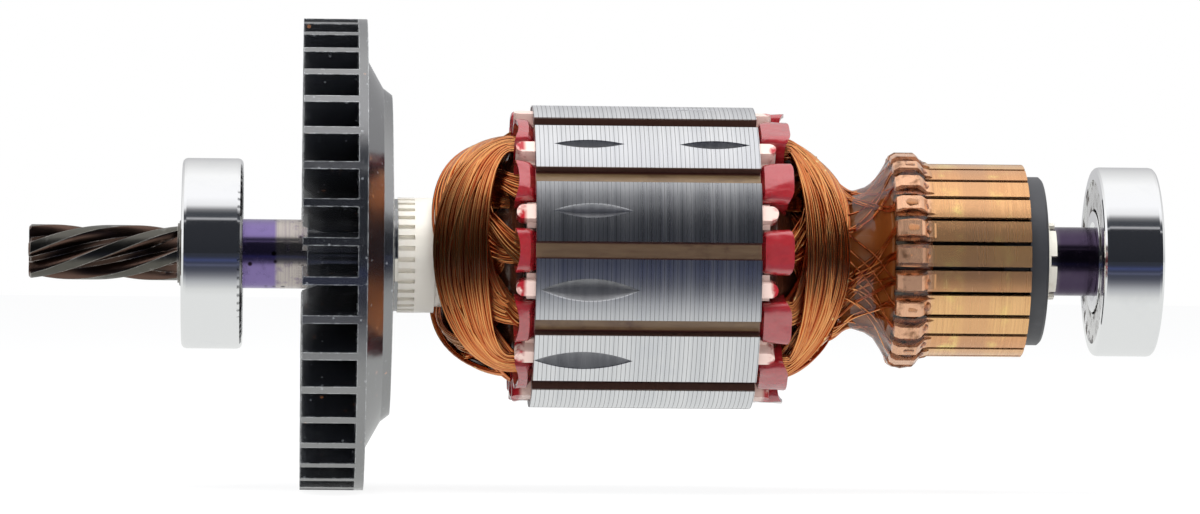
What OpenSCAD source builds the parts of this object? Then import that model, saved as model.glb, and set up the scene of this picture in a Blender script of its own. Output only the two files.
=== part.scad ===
// Armature of a universal motor, with its fan, commutator, helical pinion and two ball bearings.
// The rotation axis lies along X. The origin is the centre of the drive-end bearing, and +X runs
// from the pinion to the commutator. Turned pieces are drawn around Z and laid along X by turned().

/* [Shaft] */
// Diameter of the shaft and of both bearing journals
shaft_d = 8; // [7:0.1:9]
// Free length of shaft between the drive bearing and the fan
fan_gap = 6.8; // [3:0.1:12]
// Free length of shaft between the insulating bush and the commutator bearing
rear_gap = 4.65; // [2:0.1:10]
// How far the shaft stands out past the commutator bearing
tail_len = 1.1; // [0.8:0.1:4]
// Diameter of the reduced tail of the shaft
tail_d = 7.1; // [5:0.1:7.8]

/* [Pinion] */
// Number of helical teeth cut in the end of the shaft
pinion_teeth = 5; // [4:1:7]
// Diameter over the tips of the pinion teeth
pinion_tip_d = 6.35; // [5.6:0.05:6.8]
// Diameter at the roots of the pinion teeth
pinion_root_d = 3.9; // [3:0.1:4.6]
// Length from the pinion's end face to the neck beside the bearing
pinion_len = 17.1; // [10:0.1:24]
// Axial advance of the left-hand helix in one full turn
pinion_lead = 47; // [36:1:80]
// Diameter of the neck between the pinion and the bearing journal
neck_d = 6.9; // [6.8:0.05:7.4]
// Length of that neck
neck_len = 0.5; // [0.3:0.1:5]

/* [Bearings] */
// Outside diameter of each ball bearing
bearing_od = 22; // [20:0.5:26]
// Width of each ball bearing
bearing_w = 7; // [6.2:0.1:9]
// Diameter of the balls
ball_d = 3.97; // [3.4:0.01:4.3]
// Number of balls in each bearing
ball_count = 7; // [6:1:8]
// Depth of the ball grooves in both rings
race_depth = 0.45; // [0.3:0.01:0.6]
// Thickness of the pressed steel shields
shield_t = 0.3; // [0.2:0.02:0.4]
// Radius of the rounded corners of the bearing rings
ring_round = 0.6; // [0.2:0.05:0.8]

/* [Fan] */
// Outside diameter of the fan
fan_d = 54.5; // [48:0.5:62]
// Number of radial blades
fan_blades = 39; // [24:1:45]
// Thickness of a blade
blade_t = 0.95; // [0.7:0.05:1.3]
// Axial length of a blade at the rim
blade_len = 6.2; // [4:0.1:9]
// Radius at which the blades begin
blade_root_r = 14; // [11:0.5:17]
// Thickness of the fan's flat rim
rim_t = 1.1; // [0.8:0.1:2]
// Inner radius of the flat rim, where the dished back begins
rim_inner_r = 22.7; // [21:0.1:24]
// Radius of the shoulder on the raised back
shoulder_r = 18.8; // [17.5:0.1:20]
// How far the raised back stands out past the rim
fan_dish = 3.3; // [2:0.1:5]
// Diameter of the hub that grips the shaft
fan_hub_d = 15; // [12:0.5:18]
// Diameter of the collar on the fan's back
collar_d = 13; // [12:0.1:14]
// How far the collar stands out past the raised back
collar_len = 0.45; // [0.3:0.05:1.5]

/* [Lamination core] */
// Diameter of the core
core_d = 35; // [33:0.5:38]
// Length of the core
core_len = 25.6; // [18:0.2:40]
// Number of slots and teeth
slots = 12; // [12:1:12]
// Width of each tooth between its slots
tooth_w = 3.2; // [2.6:0.1:3.8]
// Width of the slot mouth at the surface
slot_mouth = 2.0; // [1.4:0.1:2.6]
// Thickness of the tooth tips over the slots
tip_t = 1.1; // [0.6:0.05:1.2]
// Radius of the slot floor
slot_floor_r = 9.2; // [8.8:0.1:9.8]
// Radius of the milling cutter for the balance cuts
cutter_r = 12; // [9:0.5:20]

/* [Insulation] */
// Thickness of the moulded end plates on the core
plate_t = 1.0; // [0.6:0.1:1.6]
// Width of the rounded finger on each plate arm
finger_w = 1.7; // [1.2:0.1:2.4]
// How far the fingers stand out past the drive-end plate
finger_drive = 1.2; // [0.8:0.1:2]
// How far the fingers stand out past the commutator-end plate
finger_comm = 0.9; // [0.8:0.1:2]
// Diameter of the toothed sleeve beside the fan
sleeve_d = 13.3; // [12.6:0.1:13.4]
// Length of the sleeve's ribs
rib_len = 1.9; // [1:0.1:4]
// Number of ribs on the sleeve
ribs = 32; // [16:1:40]
// Depth of the grooves between the ribs
rib_depth = 0.5; // [0.3:0.05:0.8]
// Length of plain sleeve left in view beside the winding
sleeve_show = 1.1; // [0.6:0.1:3]
// Wall of the slot liners
liner_t = 0.25; // [0.15:0.05:0.35]
// How far the liners stand out at the drive end
liner_out_drive = 2.4; // [1.6:0.1:2.6]
// How far the liners stand out at the commutator end
liner_out_comm = 3.6; // [2:0.1:3.8]
// Thickness of the slot wedges
wedge_t = 0.5; // [0.3:0.05:0.7]

/* [Winding] */
// Length of the winding head at the drive end
head_drive = 12.4; // [10.5:0.1:15]
// Length of the winding head at the commutator end
head_comm = 11.8; // [10.5:0.1:15]
// Radius of the winding heads where they leave the slots
head_r = 14.8; // [14.2:0.1:15.4]
// Radius of the eye in the winding heads
head_eye_r = 6.2; // [6:0.1:6.6]
// Number of slots that each coil spans
coil_span = 4; // [3:1:5]
// Fall of the drive-end head towards its eye, from 1 for a round one to 2 for a cone
fall_drive = 1.2; // [1:0.05:1.6]
// Fall of the commutator-end head towards its eye
fall_comm = 1.5; // [1:0.05:1.7]
// Gap between neighbouring coils
coil_gap = 0.2; // [0.16:0.02:0.3]

/* [Commutator] */
// Number of copper bars
bars = 24; // [24:1:24]
// Diameter of the brush track
comm_d = 22.4; // [21.6:0.1:23]
// Length of the brush track
track_len = 11; // [8:0.2:16]
// Length of the hooks at the bars' inner ends
hook_len = 4.6; // [3.6:0.1:6]
// Height of the hooks above the brush track
hook_h = 1.25; // [1:0.05:1.6]
// Width of a hook
hook_w = 1.7; // [1.2:0.1:2.2]
// Thickness of the bars
bar_t = 1.9; // [1.4:0.1:2.2]
// Gap between neighbouring bars
bar_slit = 0.5; // [0.3:0.05:0.7]
// Length of the wire leads between the winding and the commutator
lead_len = 4.1; // [3:0.1:7]
// Radius of the waist in the leads
waist_r = 7.9; // [7.4:0.1:8.6]
// Diameter of the moulded ring beside the brush track
end_ring_d = 19.6; // [18.8:0.1:20.4]
// Length of that ring
end_ring_len = 2.2; // [1.4:0.1:4]
// Wall of the insulating bush around the shaft
bush_t = 0.45; // [0.35:0.05:0.7]
// How far the bush stands out past the ring
bush_out = 1.6; // [1:0.1:3]

/* [Fits] */
// Radial gap of pressed and moulded seats
press_gap = 0.02; // [0.01:0.005:0.03]
// Gap between faces that meet
face_gap = 0.02; // [0.01:0.005:0.03]
// Gap between a ball and each groove
ball_gap = 0.015; // [0.01:0.005:0.03]
// Gap between the slot and what is pushed into it
slot_gap = 0.06; // [0.04:0.01:0.1]
// Running gap between the shields and the inner ring
shield_gap = 0.2; // [0.15:0.05:0.3]

/* [Hidden] */
$fn = 96;
eps = 0.01;

// Radii of the main pieces
shaft_r = shaft_d / 2;
seat_r = shaft_r + press_gap;
core_r = core_d / 2;
sleeve_r = sleeve_d / 2;
comm_r = comm_d / 2;

// Places along the axis, in order from the drive bearing
fan_x = bearing_w / 2 + fan_gap;
rim_x = fan_x + blade_len;
back_x = rim_x + rim_t;
dish_x = back_x + fan_dish;
sleeve_x = dish_x + collar_len;
head_x = sleeve_x + rib_len + sleeve_show;
core_x = head_x + head_drive;
core_end_x = core_x + core_len;
leads_x = core_end_x + head_comm;
comm_x = leads_x + lead_len;
track_x = comm_x + hook_len;
ring_x = track_x + track_len;
ring_end_x = ring_x + end_ring_len;
bush_end_x = ring_end_x + bush_out;
rear_bearing_x = bush_end_x + rear_gap + bearing_w / 2;
rear_face_x = rear_bearing_x + bearing_w / 2;
shaft_end_x = rear_face_x + tail_len;
neck_x = -bearing_w / 2 - neck_len;
pinion_x = neck_x - pinion_len;

// Angles around the axis: 0 points along -Y, and the angle grows towards -Z
slot_pitch = 360 / slots;
first_slot = -62.5;
bar_pitch = 360 / bars;
first_bar = -2.5;
first_blade = -3;
first_rib = -1.1;
pinion_phase = -10;
key_angle = 16;

// Pinion: a tooth stands at pinion_phase at this place, and the cutter's grooves run out over run_out_len
phase_x = -11.3;
run_out_len = 3.6;
run_out_depth = 0.55;
shaft_chamfer = 0.4;
journal_chamfer = 0.3;

// Ball bearing: the pitch circle lies midway between the bore and the outside
pitch_r = (shaft_d + bearing_od) / 4;
ball_r = ball_d / 2;
groove_r = 1.04 * ball_r;
groove_shift = groove_r - ball_r - ball_gap;
inner_land_r = pitch_r - ball_r - ball_gap + race_depth;
outer_land_r = pitch_r + ball_r + ball_gap - race_depth;
shield_step = 0.5;
shield_inset = 0.2;
shield_r = outer_land_r + shield_step;
cage_web = 0.46;
cage_t = 1.2;
pocket_gap = 0.05;

// Fan: the hub starts behind the blades' edges, and the raised back rounds off at its shoulder
hub_setback = 0.6;
dish_fall = 0.35;
shoulder_fall = 1.4;
root_setback = 2.2;
root_run = 3;

// Key tab that locks the drive-end sleeve to the fan's collar
key_w = 2.7;
key_t = 1.6;
key_gap = 0.05;

// End plates: a ring on the slot floors, with an arm for each tooth
plate_ring_r = slot_floor_r - 0.3;
plate_arm_r = core_d / 2 - 2;
plate_arm_w = tooth_w - 0.2;
finger_r = core_d / 2 - 0.5;
finger_depth = 2.0;

// Slot: its flanks run parallel to the teeth, so its width grows with the radius
half_pitch = slot_pitch / 2;
slot_top_r = core_r - tip_t;
wedge_r = slot_top_r - slot_gap - wedge_t;
liner_top_r = wedge_r - slot_gap;
liner_floor_r = slot_floor_r + slot_gap;
coil_inset = slot_gap + liner_t + 0.12;
coil_floor_r = slot_floor_r + coil_inset;
coil_top_r = liner_top_r - liner_t - 0.12;
coil_mid_r = (coil_floor_r + coil_top_r) / 2;

// Sleeves under the winding heads and the leads
under_r = head_eye_r - 0.25;
lead_bore_r = shaft_r + 0.9;
lead_wall = 1;
groove_w = 0.55;

// Winding heads: nested shells of quarter ellipses, one shell for each pair of coils
shells = slots / 2;
span = round(coil_span);
half_span = span * slot_pitch / 2;
leg_drive = liner_out_drive + 0.3;
leg_comm = liner_out_comm + 0.2;
inner_reach = 3.3;
inner_rise = coil_floor_r - head_eye_r;
crown = 1.16;
eye_deg = 80;
top_eye_deg = 56;
low_belt_deg = 38;
top_belt_deg = 19;
leg_spread = 7;
half_turn = [0, 15, 30, 46, 61, 76];
// Steps along one winding head: [how far the leg has left its slot, angle round the head]
turn = concat([[0, 0], [0.5, 0]], [for (t = half_turn) [1, t]], [[1, 90]],
              [for (i = [len(half_turn) - 1:-1:0]) [1, 180 - half_turn[i]]], [[0.5, 180], [0, 180]]);
// Outline of a coil: [across, through], each from -1 to 1
coil_ring = [[-1, -0.4], [-0.6, -1], [0, -1], [0.6, -1], [1, -0.4],
             [1, 0.4], [0.6, 1], [0, 1], [-0.6, 1], [-1, 0.4]];

// Commutator: the bars' feet are undercut, and the moulding holds them
bar_r = comm_r - bar_t;
foot_h = 1.2;
foot_inset = 2.4;
foot_undercut = 0.6;
hub_front = 0.1;
bush_x = comm_x - 1;

// Balance cuts: [tooth, place along the core from 0 to 1, depth]
balance_cuts = [[0, 0.70, 0.6], [1, 0.24, 0.7], [1, 0.80, 0.7], [2, 0.25, 0.9],
                [3, 0.24, 1.4], [4, 0.22, 1.4], [8, 0.5, 1.0]];

function lerp(a, b, t) = a + (b - a) * t;
function smooth(t) = let (c = max(0, min(1, t))) c * c * (3 - 2 * c);
function slot_angle(i) = first_slot + i * slot_pitch;
function slot_half(r, inset) = r * tan(half_pitch) - (tooth_w / 2 + inset) / cos(half_pitch);
function pad(i) = i < 10 ? str("0", i) : str(i);

// Lays a piece drawn around Z along X, with its local angle 0 towards -Y
module turned(x = 0) {
    translate([x, 0, 0]) rotate([0, 90, 0]) rotate([0, 0, -90]) children();
}

// Stands a flat [radius, length] outline on edge at an angle, as a plate of thickness t
module radial_plate(angle, t) {
    rotate([0, 0, angle]) rotate([90, 0, 0]) linear_extrude(t, center = true) children();
}

module tube(r_in, r_out, x0, x1) {
    translate([0, 0, x0]) difference() {
        cylinder(r = r_out, h = x1 - x0);
        translate([0, 0, -1]) cylinder(r = r_in, h = x1 - x0 + 2);
    }
}

/* ---- shaft and pinion ---- */

// One tooth's share of the pinion outline, from root to land and back
function pinion_tooth(i) =
    let (pitch = 360 / pinion_teeth, tip = pinion_tip_d / 2, root = pinion_root_d / 2)
    [for (p = [[-0.36, root], [-0.29, lerp(root, tip, 0.35)], [-0.2, lerp(root, tip, 0.85)],
               [-0.15, tip], [0, tip], [0.15, tip],
               [0.2, lerp(root, tip, 0.85)], [0.29, lerp(root, tip, 0.35)], [0.36, root]])
        let (a = pinion_phase + (i + p[0]) * pitch) [p[1] * cos(a), p[1] * sin(a)]];

module pinion() {
    outline = [for (i = [0:pinion_teeth - 1]) each pinion_tooth(i)];
    turn_per_mm = 360 / pinion_lead;
    rotate([0, 0, (phase_x - pinion_x) * turn_per_mm]) translate([0, 0, pinion_x])
        linear_extrude(pinion_len + eps, twist = pinion_len * turn_per_mm, slices = 22, $fn = 16)
            polygon(outline);
    // the cutter rose out of the metal here, so the grooves grow shallow beside the neck
    translate([0, 0, neck_x - run_out_len])
        cylinder(r1 = pinion_root_d / 2, r2 = pinion_tip_d / 2 - run_out_depth, h = run_out_len + eps);
}

module shaft() {
    tail_chamfer_x = shaft_end_x - shaft_chamfer;
    color("#8d8a94") turned() union() {
        pinion();
        translate([0, 0, neck_x]) cylinder(d = neck_d, h = neck_len + eps);
        translate([0, 0, -bearing_w / 2 - journal_chamfer])
            cylinder(r1 = shaft_r - journal_chamfer, r2 = shaft_r, h = journal_chamfer);
        translate([0, 0, -bearing_w / 2]) cylinder(r = shaft_r, h = rear_face_x + bearing_w / 2);
        translate([0, 0, rear_face_x - eps]) cylinder(d = tail_d, h = tail_chamfer_x - rear_face_x + eps);
        translate([0, 0, tail_chamfer_x])
            cylinder(d1 = tail_d, d2 = tail_d - 2 * shaft_chamfer, h = shaft_chamfer);
    }
}

/* ---- ball bearings ---- */

// A bearing ring's section, [radius, length], with round corners on one radius and shield steps on
// the other
module ring_section(plain_r, land_r, step_r) {
    h = bearing_w / 2;
    s = h - shield_inset - shield_t;
    out = plain_r > land_r ? ring_round : -ring_round;
    corner = [for (t = [0:30:90]) [plain_r + out * (cos(t) - 1), h + ring_round * (sin(t) - 1)]];
    last = len(corner) - 1;
    polygon(concat([for (p = corner) [p[0], -p[1]]],
                   [[step_r, -h], [step_r, -s], [land_r, -s], [land_r, s], [step_r, s], [step_r, h]],
                   [for (i = [last:-1:0]) corner[i]]));
}

module bearing_outer_ring() {
    color("#c9cdd1") rotate_extrude() difference() {
        ring_section(bearing_od / 2, outer_land_r, shield_r);
        translate([pitch_r - groove_shift, 0]) circle(r = groove_r);
    }
}

module bearing_inner_ring() {
    color("#c9cdd1") rotate_extrude() difference() {
        ring_section(seat_r, inner_land_r, inner_land_r - 0.05);
        translate([pitch_r + groove_shift, 0]) circle(r = groove_r);
    }
}

module bearing_balls() {
    color("silver") for (i = [0:ball_count - 1]) rotate([0, 0, i * 360 / ball_count])
        translate([pitch_r, 0, 0]) sphere(r = ball_r);
}

module bearing_cage() {
    h = ball_r + cage_web;
    color("#b89b62") difference() {
        tube(pitch_r - cage_t / 2, pitch_r + cage_t / 2, -h, h);
        for (i = [0:ball_count - 1]) rotate([0, 90, i * 360 / ball_count])
            translate([0, 0, pitch_r - cage_t]) cylinder(r = ball_r + pocket_gap, h = 2 * cage_t);
    }
}

module bearing_shield(side) {
    inner = bearing_w / 2 - shield_inset - shield_t + face_gap;
    color("#a9adb0") mirror([0, 0, side < 0 ? 1 : 0])
        tube(inner_land_r + shield_gap, shield_r - press_gap, inner, inner + shield_t);
}

/* ---- fan ---- */

// The dished back, [radius, length], closed by a wall of rim_t
module fan_back_section() {
    hub_x = fan_x + hub_setback;
    polygon([[seat_r, hub_x], [fan_hub_d / 2, hub_x], [fan_hub_d / 2, dish_x - rim_t],
             [shoulder_r - 1.0, dish_x - rim_t - 0.3], [rim_inner_r - 0.5, rim_x],
             [fan_d / 2, rim_x], [fan_d / 2, back_x], [rim_inner_r, back_x],
             [shoulder_r + 0.5, dish_x - shoulder_fall], [shoulder_r - 0.3, dish_x - dish_fall],
             [collar_d / 2, dish_x], [collar_d / 2, sleeve_x - face_gap], [seat_r, sleeve_x - face_gap]]);
}

// A blade's outline, [radius, length], sunk half way into the wall of the back
module fan_blade_outline() {
    root = blade_root_r;
    polygon([[fan_d / 2, fan_x], [root + root_run, fan_x], [root, fan_x + root_setback],
             [root, dish_x - rim_t / 2], [shoulder_r - 1, dish_x - rim_t / 2 - 0.4],
             [rim_inner_r - 0.3, rim_x + rim_t / 2], [fan_d / 2, rim_x + rim_t / 2]]);
}

module fan() {
    color("#2b2c2f") turned() difference() {
        union() {
            rotate_extrude() fan_back_section();
            for (i = [0:fan_blades - 1])
                radial_plate(first_blade + i * 360 / fan_blades, blade_t) fan_blade_outline();
        }
        rotate([0, 0, key_angle]) key_block(key_w + 2 * slot_gap, collar_len + 2 * key_gap);
    }
}

/* ---- lamination core ---- */

module slot_cutter(x0, x1) {
    floor_half = slot_half(slot_floor_r, 0);
    top_half = slot_half(slot_top_r, 0);
    for (i = [0:slots - 1]) rotate([0, 0, slot_angle(i)]) translate([0, 0, x0]) linear_extrude(x1 - x0)
        polygon([[slot_floor_r, -floor_half], [slot_top_r, -top_half], [slot_top_r, -slot_mouth / 2],
                 [core_r + 1, -slot_mouth / 2], [core_r + 1, slot_mouth / 2], [slot_top_r, slot_mouth / 2],
                 [slot_top_r, top_half], [slot_floor_r, floor_half]]);
}

// A wheel with a sharp edge, which leaves a lens-shaped cut
module balance_cutter() {
    edge = 3;
    rotate([90, 0, 0]) for (side = [0, 1]) mirror([0, 0, side])
        cylinder(r1 = cutter_r, r2 = cutter_r - edge, h = edge);
}

module lamination_core() {
    color("#b9bdc2") turned() difference() {
        tube(seat_r, core_r, core_x, core_end_x);
        slot_cutter(core_x - 1, core_end_x + 1);
        for (c = balance_cuts) rotate([0, 0, slot_angle(c[0]) - half_pitch])
            translate([core_r + cutter_r - c[2], 0, core_x + c[1] * core_len]) balance_cutter();
    }
}

/* ---- insulation ---- */

// A tab that locks the sleeve to the fan's collar
module key_block(w, length) {
    translate([collar_d / 2 - key_t, -w / 2, sleeve_x - length]) cube([key_t + 0.4, w, length + eps]);
}

// The spider over the core's end: an arm for each tooth, with a rounded finger. It grows towards -Z.
module end_plate(finger_len) {
    arm_x = plate_ring_r - 1;
    finger_x = finger_r - finger_depth;
    finger_end = finger_w / 2 - plate_t - finger_len;
    difference() {
        union() {
            translate([0, 0, -plate_t]) cylinder(r = plate_ring_r, h = plate_t);
            for (i = [0:slots - 1]) rotate([0, 0, slot_angle(i) + half_pitch]) {
                translate([arm_x, -plate_arm_w / 2, -plate_t])
                    cube([plate_arm_r - arm_x, plate_arm_w, plate_t]);
                translate([finger_x, -finger_w / 2, finger_end])
                    cube([finger_depth, finger_w, -finger_end]);
                translate([finger_x, 0, finger_end]) rotate([0, 90, 0])
                    cylinder(d = finger_w, h = finger_depth);
            }
        }
        translate([0, 0, -plate_t - 1]) cylinder(r = seat_r, h = plate_t + 2);
    }
}

module drive_end_insulator() {
    step_x = head_x + 1.2;
    color("#efe9dc") turned() union() {
        difference() {
            tube(seat_r, sleeve_r, sleeve_x, step_x);
            for (i = [0:ribs - 1]) rotate([0, 0, first_rib + (i + 0.5) * 360 / ribs])
                translate([sleeve_r - rib_depth, -groove_w / 2, sleeve_x - 1])
                    cube([1, groove_w, rib_len + 1]);
        }
        intersection() {
            rotate([0, 0, key_angle]) key_block(key_w, collar_len - key_gap);
            translate([0, 0, sleeve_x - 1]) cylinder(d = collar_d, h = 2);
        }
        tube(seat_r, under_r, step_x - eps, core_x - face_gap);
        translate([0, 0, core_x - face_gap]) end_plate(finger_drive);
    }
}

module commutator_end_insulator() {
    tail_x = leads_x + lead_len - 1.2;
    color("#efe9dc") turned() union() {
        tube(seat_r, lead_bore_r - press_gap, core_end_x + face_gap, tail_x);
        translate([0, 0, core_end_x + face_gap]) mirror([0, 0, 1]) end_plate(finger_comm);
    }
}

module liner_outline(inset) {
    low = liner_floor_r + inset;
    high = liner_top_r - inset;
    polygon([[low, -slot_half(low, slot_gap + inset)], [high, -slot_half(high, slot_gap + inset)],
             [high, slot_half(high, slot_gap + inset)], [low, slot_half(low, slot_gap + inset)]]);
}

module slot_liners() {
    x0 = core_x - liner_out_drive;
    length = liner_out_drive + core_len + liner_out_comm;
    color("#a3262c") turned() for (i = [0:slots - 1]) rotate([0, 0, slot_angle(i)])
        translate([0, 0, x0]) difference() {
            linear_extrude(length) liner_outline(0);
            translate([0, 0, -1]) linear_extrude(length + 2) liner_outline(liner_t);
        }
}

module slot_wedges() {
    high = wedge_r + wedge_t;
    color("#b08a55") turned() for (i = [0:slots - 1]) rotate([0, 0, slot_angle(i)])
        translate([0, 0, core_x]) linear_extrude(core_len)
            polygon([[wedge_r, -slot_half(wedge_r, slot_gap)], [high, -slot_half(wedge_r, slot_gap)],
                     [high, slot_half(wedge_r, slot_gap)], [wedge_r, slot_half(wedge_r, slot_gap)]]);
}

/* ---- winding ---- */

// The order in which a coil was wound, 0 first, and whether it lies on top in a slot it shares
function coil_order(k) = (k + shells - 1) % shells;
function lies_on_top(k, other) = coil_order(k) > coil_order(other);

// One point of a coil. Each coil keeps to its own shell of the winding head, and runs round it on an
// ellipse in (angle, latitude), from its first slot over the eye to its last.
function coil_point(k, side, step, a, b) =
    let (tau = step[1],
         top = lies_on_top(k, tau < 90 ? k + slots - span : k + span),
         level = coil_order(k) / (shells - 1),
         share = (coil_order(k) + 0.5 + 0.5 * b) / shells,
         leg = side < 0 ? leg_drive : leg_comm,
         reach = lerp(inner_reach, ((side < 0 ? head_drive : head_comm) - leg) * crown, share),
         rise = lerp(inner_rise, head_r - head_eye_r, share),
         inset = b * coil_gap / 2,
         fall = side < 0 ? fall_drive : fall_comm,
         belt = lerp(low_belt_deg, top_belt_deg, level),
         eye = lerp(eye_deg, top_eye_deg, pow(level, 3)),
         u = lerp(belt, eye, (a + 1) / 2) * sin(tau),
         leg_r = top ? lerp(coil_mid_r + coil_gap / 2, coil_top_r, (b + 1) / 2)
                     : lerp(coil_floor_r, coil_mid_r - coil_gap / 2, (b + 1) / 2),
         r = lerp(leg_r, head_eye_r + (rise - inset) * pow(cos(u), fall), smooth(step[0])),
         z = lerp(0.1, 1, step[0]) * leg + (reach - inset) * pow(sin(u), fall),
         slot_deg = atan(slot_half(max(r, coil_floor_r), coil_inset) / r),
         half_deg = lerp(slot_deg, leg_spread, smooth(sin(tau) * 2)),
         angle = slot_angle(k) + half_span - (half_span + a * half_deg) * cos(tau))
    [r * cos(angle), r * sin(angle), side < 0 ? core_x - z : core_end_x + z];

module coil(k) {
    steps = concat([for (s = turn) [-1, s]], [for (i = [len(turn) - 1:-1:0]) [1, turn[i]]]);
    n = len(coil_ring);
    count = len(steps);
    points = [for (s = steps) for (p = coil_ring) coil_point(k, s[0], s[1], p[0], p[1])];
    faces = [for (i = [0:count - 1]) for (j = [0:n - 1])
        let (i2 = (i + 1) % count, j2 = (j + 1) % n)
        each [[i * n + j, i * n + j2, i2 * n + j2], [i * n + j, i2 * n + j2, i2 * n + j]]];
    color("#a5532a") turned() polyhedron(points, faces, convexity = 6);
}

// The coil ends, drawn together into a waist and coated with resin, fluted where the wires run
module winding_leads() {
    flutes = bars;
    steps = 3 * flutes;
    start = leads_x + face_gap;
    length = comm_x - face_gap - start;
    flare_r = comm_r + 0.2;
    levels = [0, 0.25, 0.45, 0.62, 0.78, 0.9, 1];
    outer = [for (t = levels) for (i = [0:steps - 1])
        let (ripple = 0.22 * sin(180 * t) * cos(360 * i / 3),
             r = waist_r + (flare_r - waist_r) * pow(t, 2.6) + ripple,
             angle = first_bar + i * 360 / steps)
        [r * cos(angle), r * sin(angle), start + t * length]];
    inner = [for (t = [0, 1]) for (i = [0:steps - 1])
        let (angle = first_bar + i * 360 / steps, r = lead_bore_r + lead_wall)
        [r * cos(angle), r * sin(angle), start + t * length]];
    last = len(levels) - 1;
    base = len(outer);
    faces = concat(
        [for (l = [0:last - 1]) for (i = [0:steps - 1])
            let (j = (i + 1) % steps, p = l * steps, q = (l + 1) * steps)
            each [[p + i, q + j, p + j], [p + i, q + i, q + j]]],
        [for (i = [0:steps - 1]) let (j = (i + 1) % steps)
            each [[base + i, base + j, base + steps + j], [base + i, base + steps + j, base + steps + i]]],
        [for (i = [0:steps - 1]) let (j = (i + 1) % steps)
            each [[i, j, base + j], [i, base + j, base + i]]],
        [for (i = [0:steps - 1]) let (j = (i + 1) % steps, p = last * steps, q = base + steps)
            each [[p + j, p + i, q + i], [p + j, q + i, q + j]]]);
    color("#8a4a22") turned() union() {
        polyhedron(concat(outer, inner), faces, convexity = 4);
        tube(lead_bore_r, lead_bore_r + lead_wall + 0.1, start, comm_x - face_gap);
    }
}

/* ---- commutator ---- */

// The undercut foot of a bar, [radius, length], grown by g to make its seat
module foot_outline(g) {
    low = bar_r - foot_h - g;
    x0 = comm_x + foot_inset - g;
    x1 = ring_x - foot_inset + g;
    polygon([[bar_r + eps, x0 + foot_undercut], [low, x0], [low, x1], [bar_r + eps, x1 - foot_undercut]]);
}

module commutator_bar(i) {
    angle = first_bar + (i - 1) * bar_pitch;
    slit_deg = atan(bar_slit / comm_r);
    sweep = bar_pitch - slit_deg;
    root = bar_r + 0.4;
    top = comm_r + hook_h;
    bevel = 0.35;
    tip_h = 0.3;
    wire_r = 0.3;
    color("#c47a3d") turned() union() {
        rotate([0, 0, angle - sweep / 2]) rotate_extrude(angle = sweep) union() {
            translate([bar_r, comm_x]) square([bar_t, ring_x - comm_x]);
            foot_outline(0);
        }
        // the hook folds back over the bar, and closes on the wire
        radial_plate(angle, hook_w) difference() {
            polygon([[root, comm_x + 0.1], [comm_r + 0.4, comm_x], [top - bevel, comm_x + 0.1],
                     [top, comm_x + 2 * bevel], [top, comm_x + 0.62 * hook_len],
                     [top - bevel, comm_x + 0.7 * hook_len], [comm_r + tip_h, comm_x + 0.8 * hook_len],
                     [comm_r + tip_h / 2, comm_x + 0.95 * hook_len], [comm_r, track_x], [root, track_x]]);
            translate([comm_r + wire_r + 0.1, comm_x + 0.3 * hook_len]) circle(r = wire_r);
        }
    }
}

module commutator_hub() {
    seat = bar_r - press_gap;
    bore = shaft_r + press_gap + bush_t + press_gap;
    color("#26262a") turned() rotate_extrude() difference() {
        polygon([[bore, comm_x + hub_front], [seat, comm_x + hub_front], [seat, ring_x + face_gap],
                 [end_ring_d / 2, ring_x + face_gap], [end_ring_d / 2, ring_end_x - 0.3],
                 [end_ring_d / 2 - 0.3, ring_end_x], [bore, ring_end_x]]);
        foot_outline(press_gap);
    }
}

module insulating_bush() {
    notches = 6;
    notch_w = 1.2;
    notch_len = 0.7;
    color("#e9e4d6") turned() difference() {
        tube(seat_r, seat_r + bush_t, bush_x, bush_end_x);
        for (i = [0:notches - 1]) rotate([0, 0, i * 360 / notches])
            translate([shaft_r - 1, -notch_w / 2, bush_end_x - notch_len]) cube([3, notch_w, 2]);
    }
}

shaft();
fan();
lamination_core();
drive_end_insulator();
commutator_end_insulator();
slot_liners();
slot_wedges();
winding_leads();
commutator_hub();
insulating_bush();

for (end = [["drive_bearing_", 0], ["commutator_bearing_", rear_bearing_x]]) {
    turned(end[1]) bearing_outer_ring();
    turned(end[1]) bearing_inner_ring();
    turned(end[1]) bearing_cage();
    turned(end[1]) bearing_balls();
    turned(end[1]) bearing_shield(-1);
    turned(end[1]) bearing_shield(1);
}

for (i = [1:slots])
    coil(i - 1);

for (i = [1:bars])
    commutator_bar(i);
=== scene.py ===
# %% [markdown]
# # Looks of a motor armature
#
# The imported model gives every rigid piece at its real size: shaft, bearings, fan, core, insulators,
# commutator. This lesson adds what makes them look like the real thing: the copper wires of the
# winding and of the leads, varnish, resin, and a finish for each surface. All lengths in the frame
# are metres, and its X axis is the axis of rotation.

# %% Load the frame
import bpy, math
import numpy as np
from mathutils import Matrix, Vector


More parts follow.
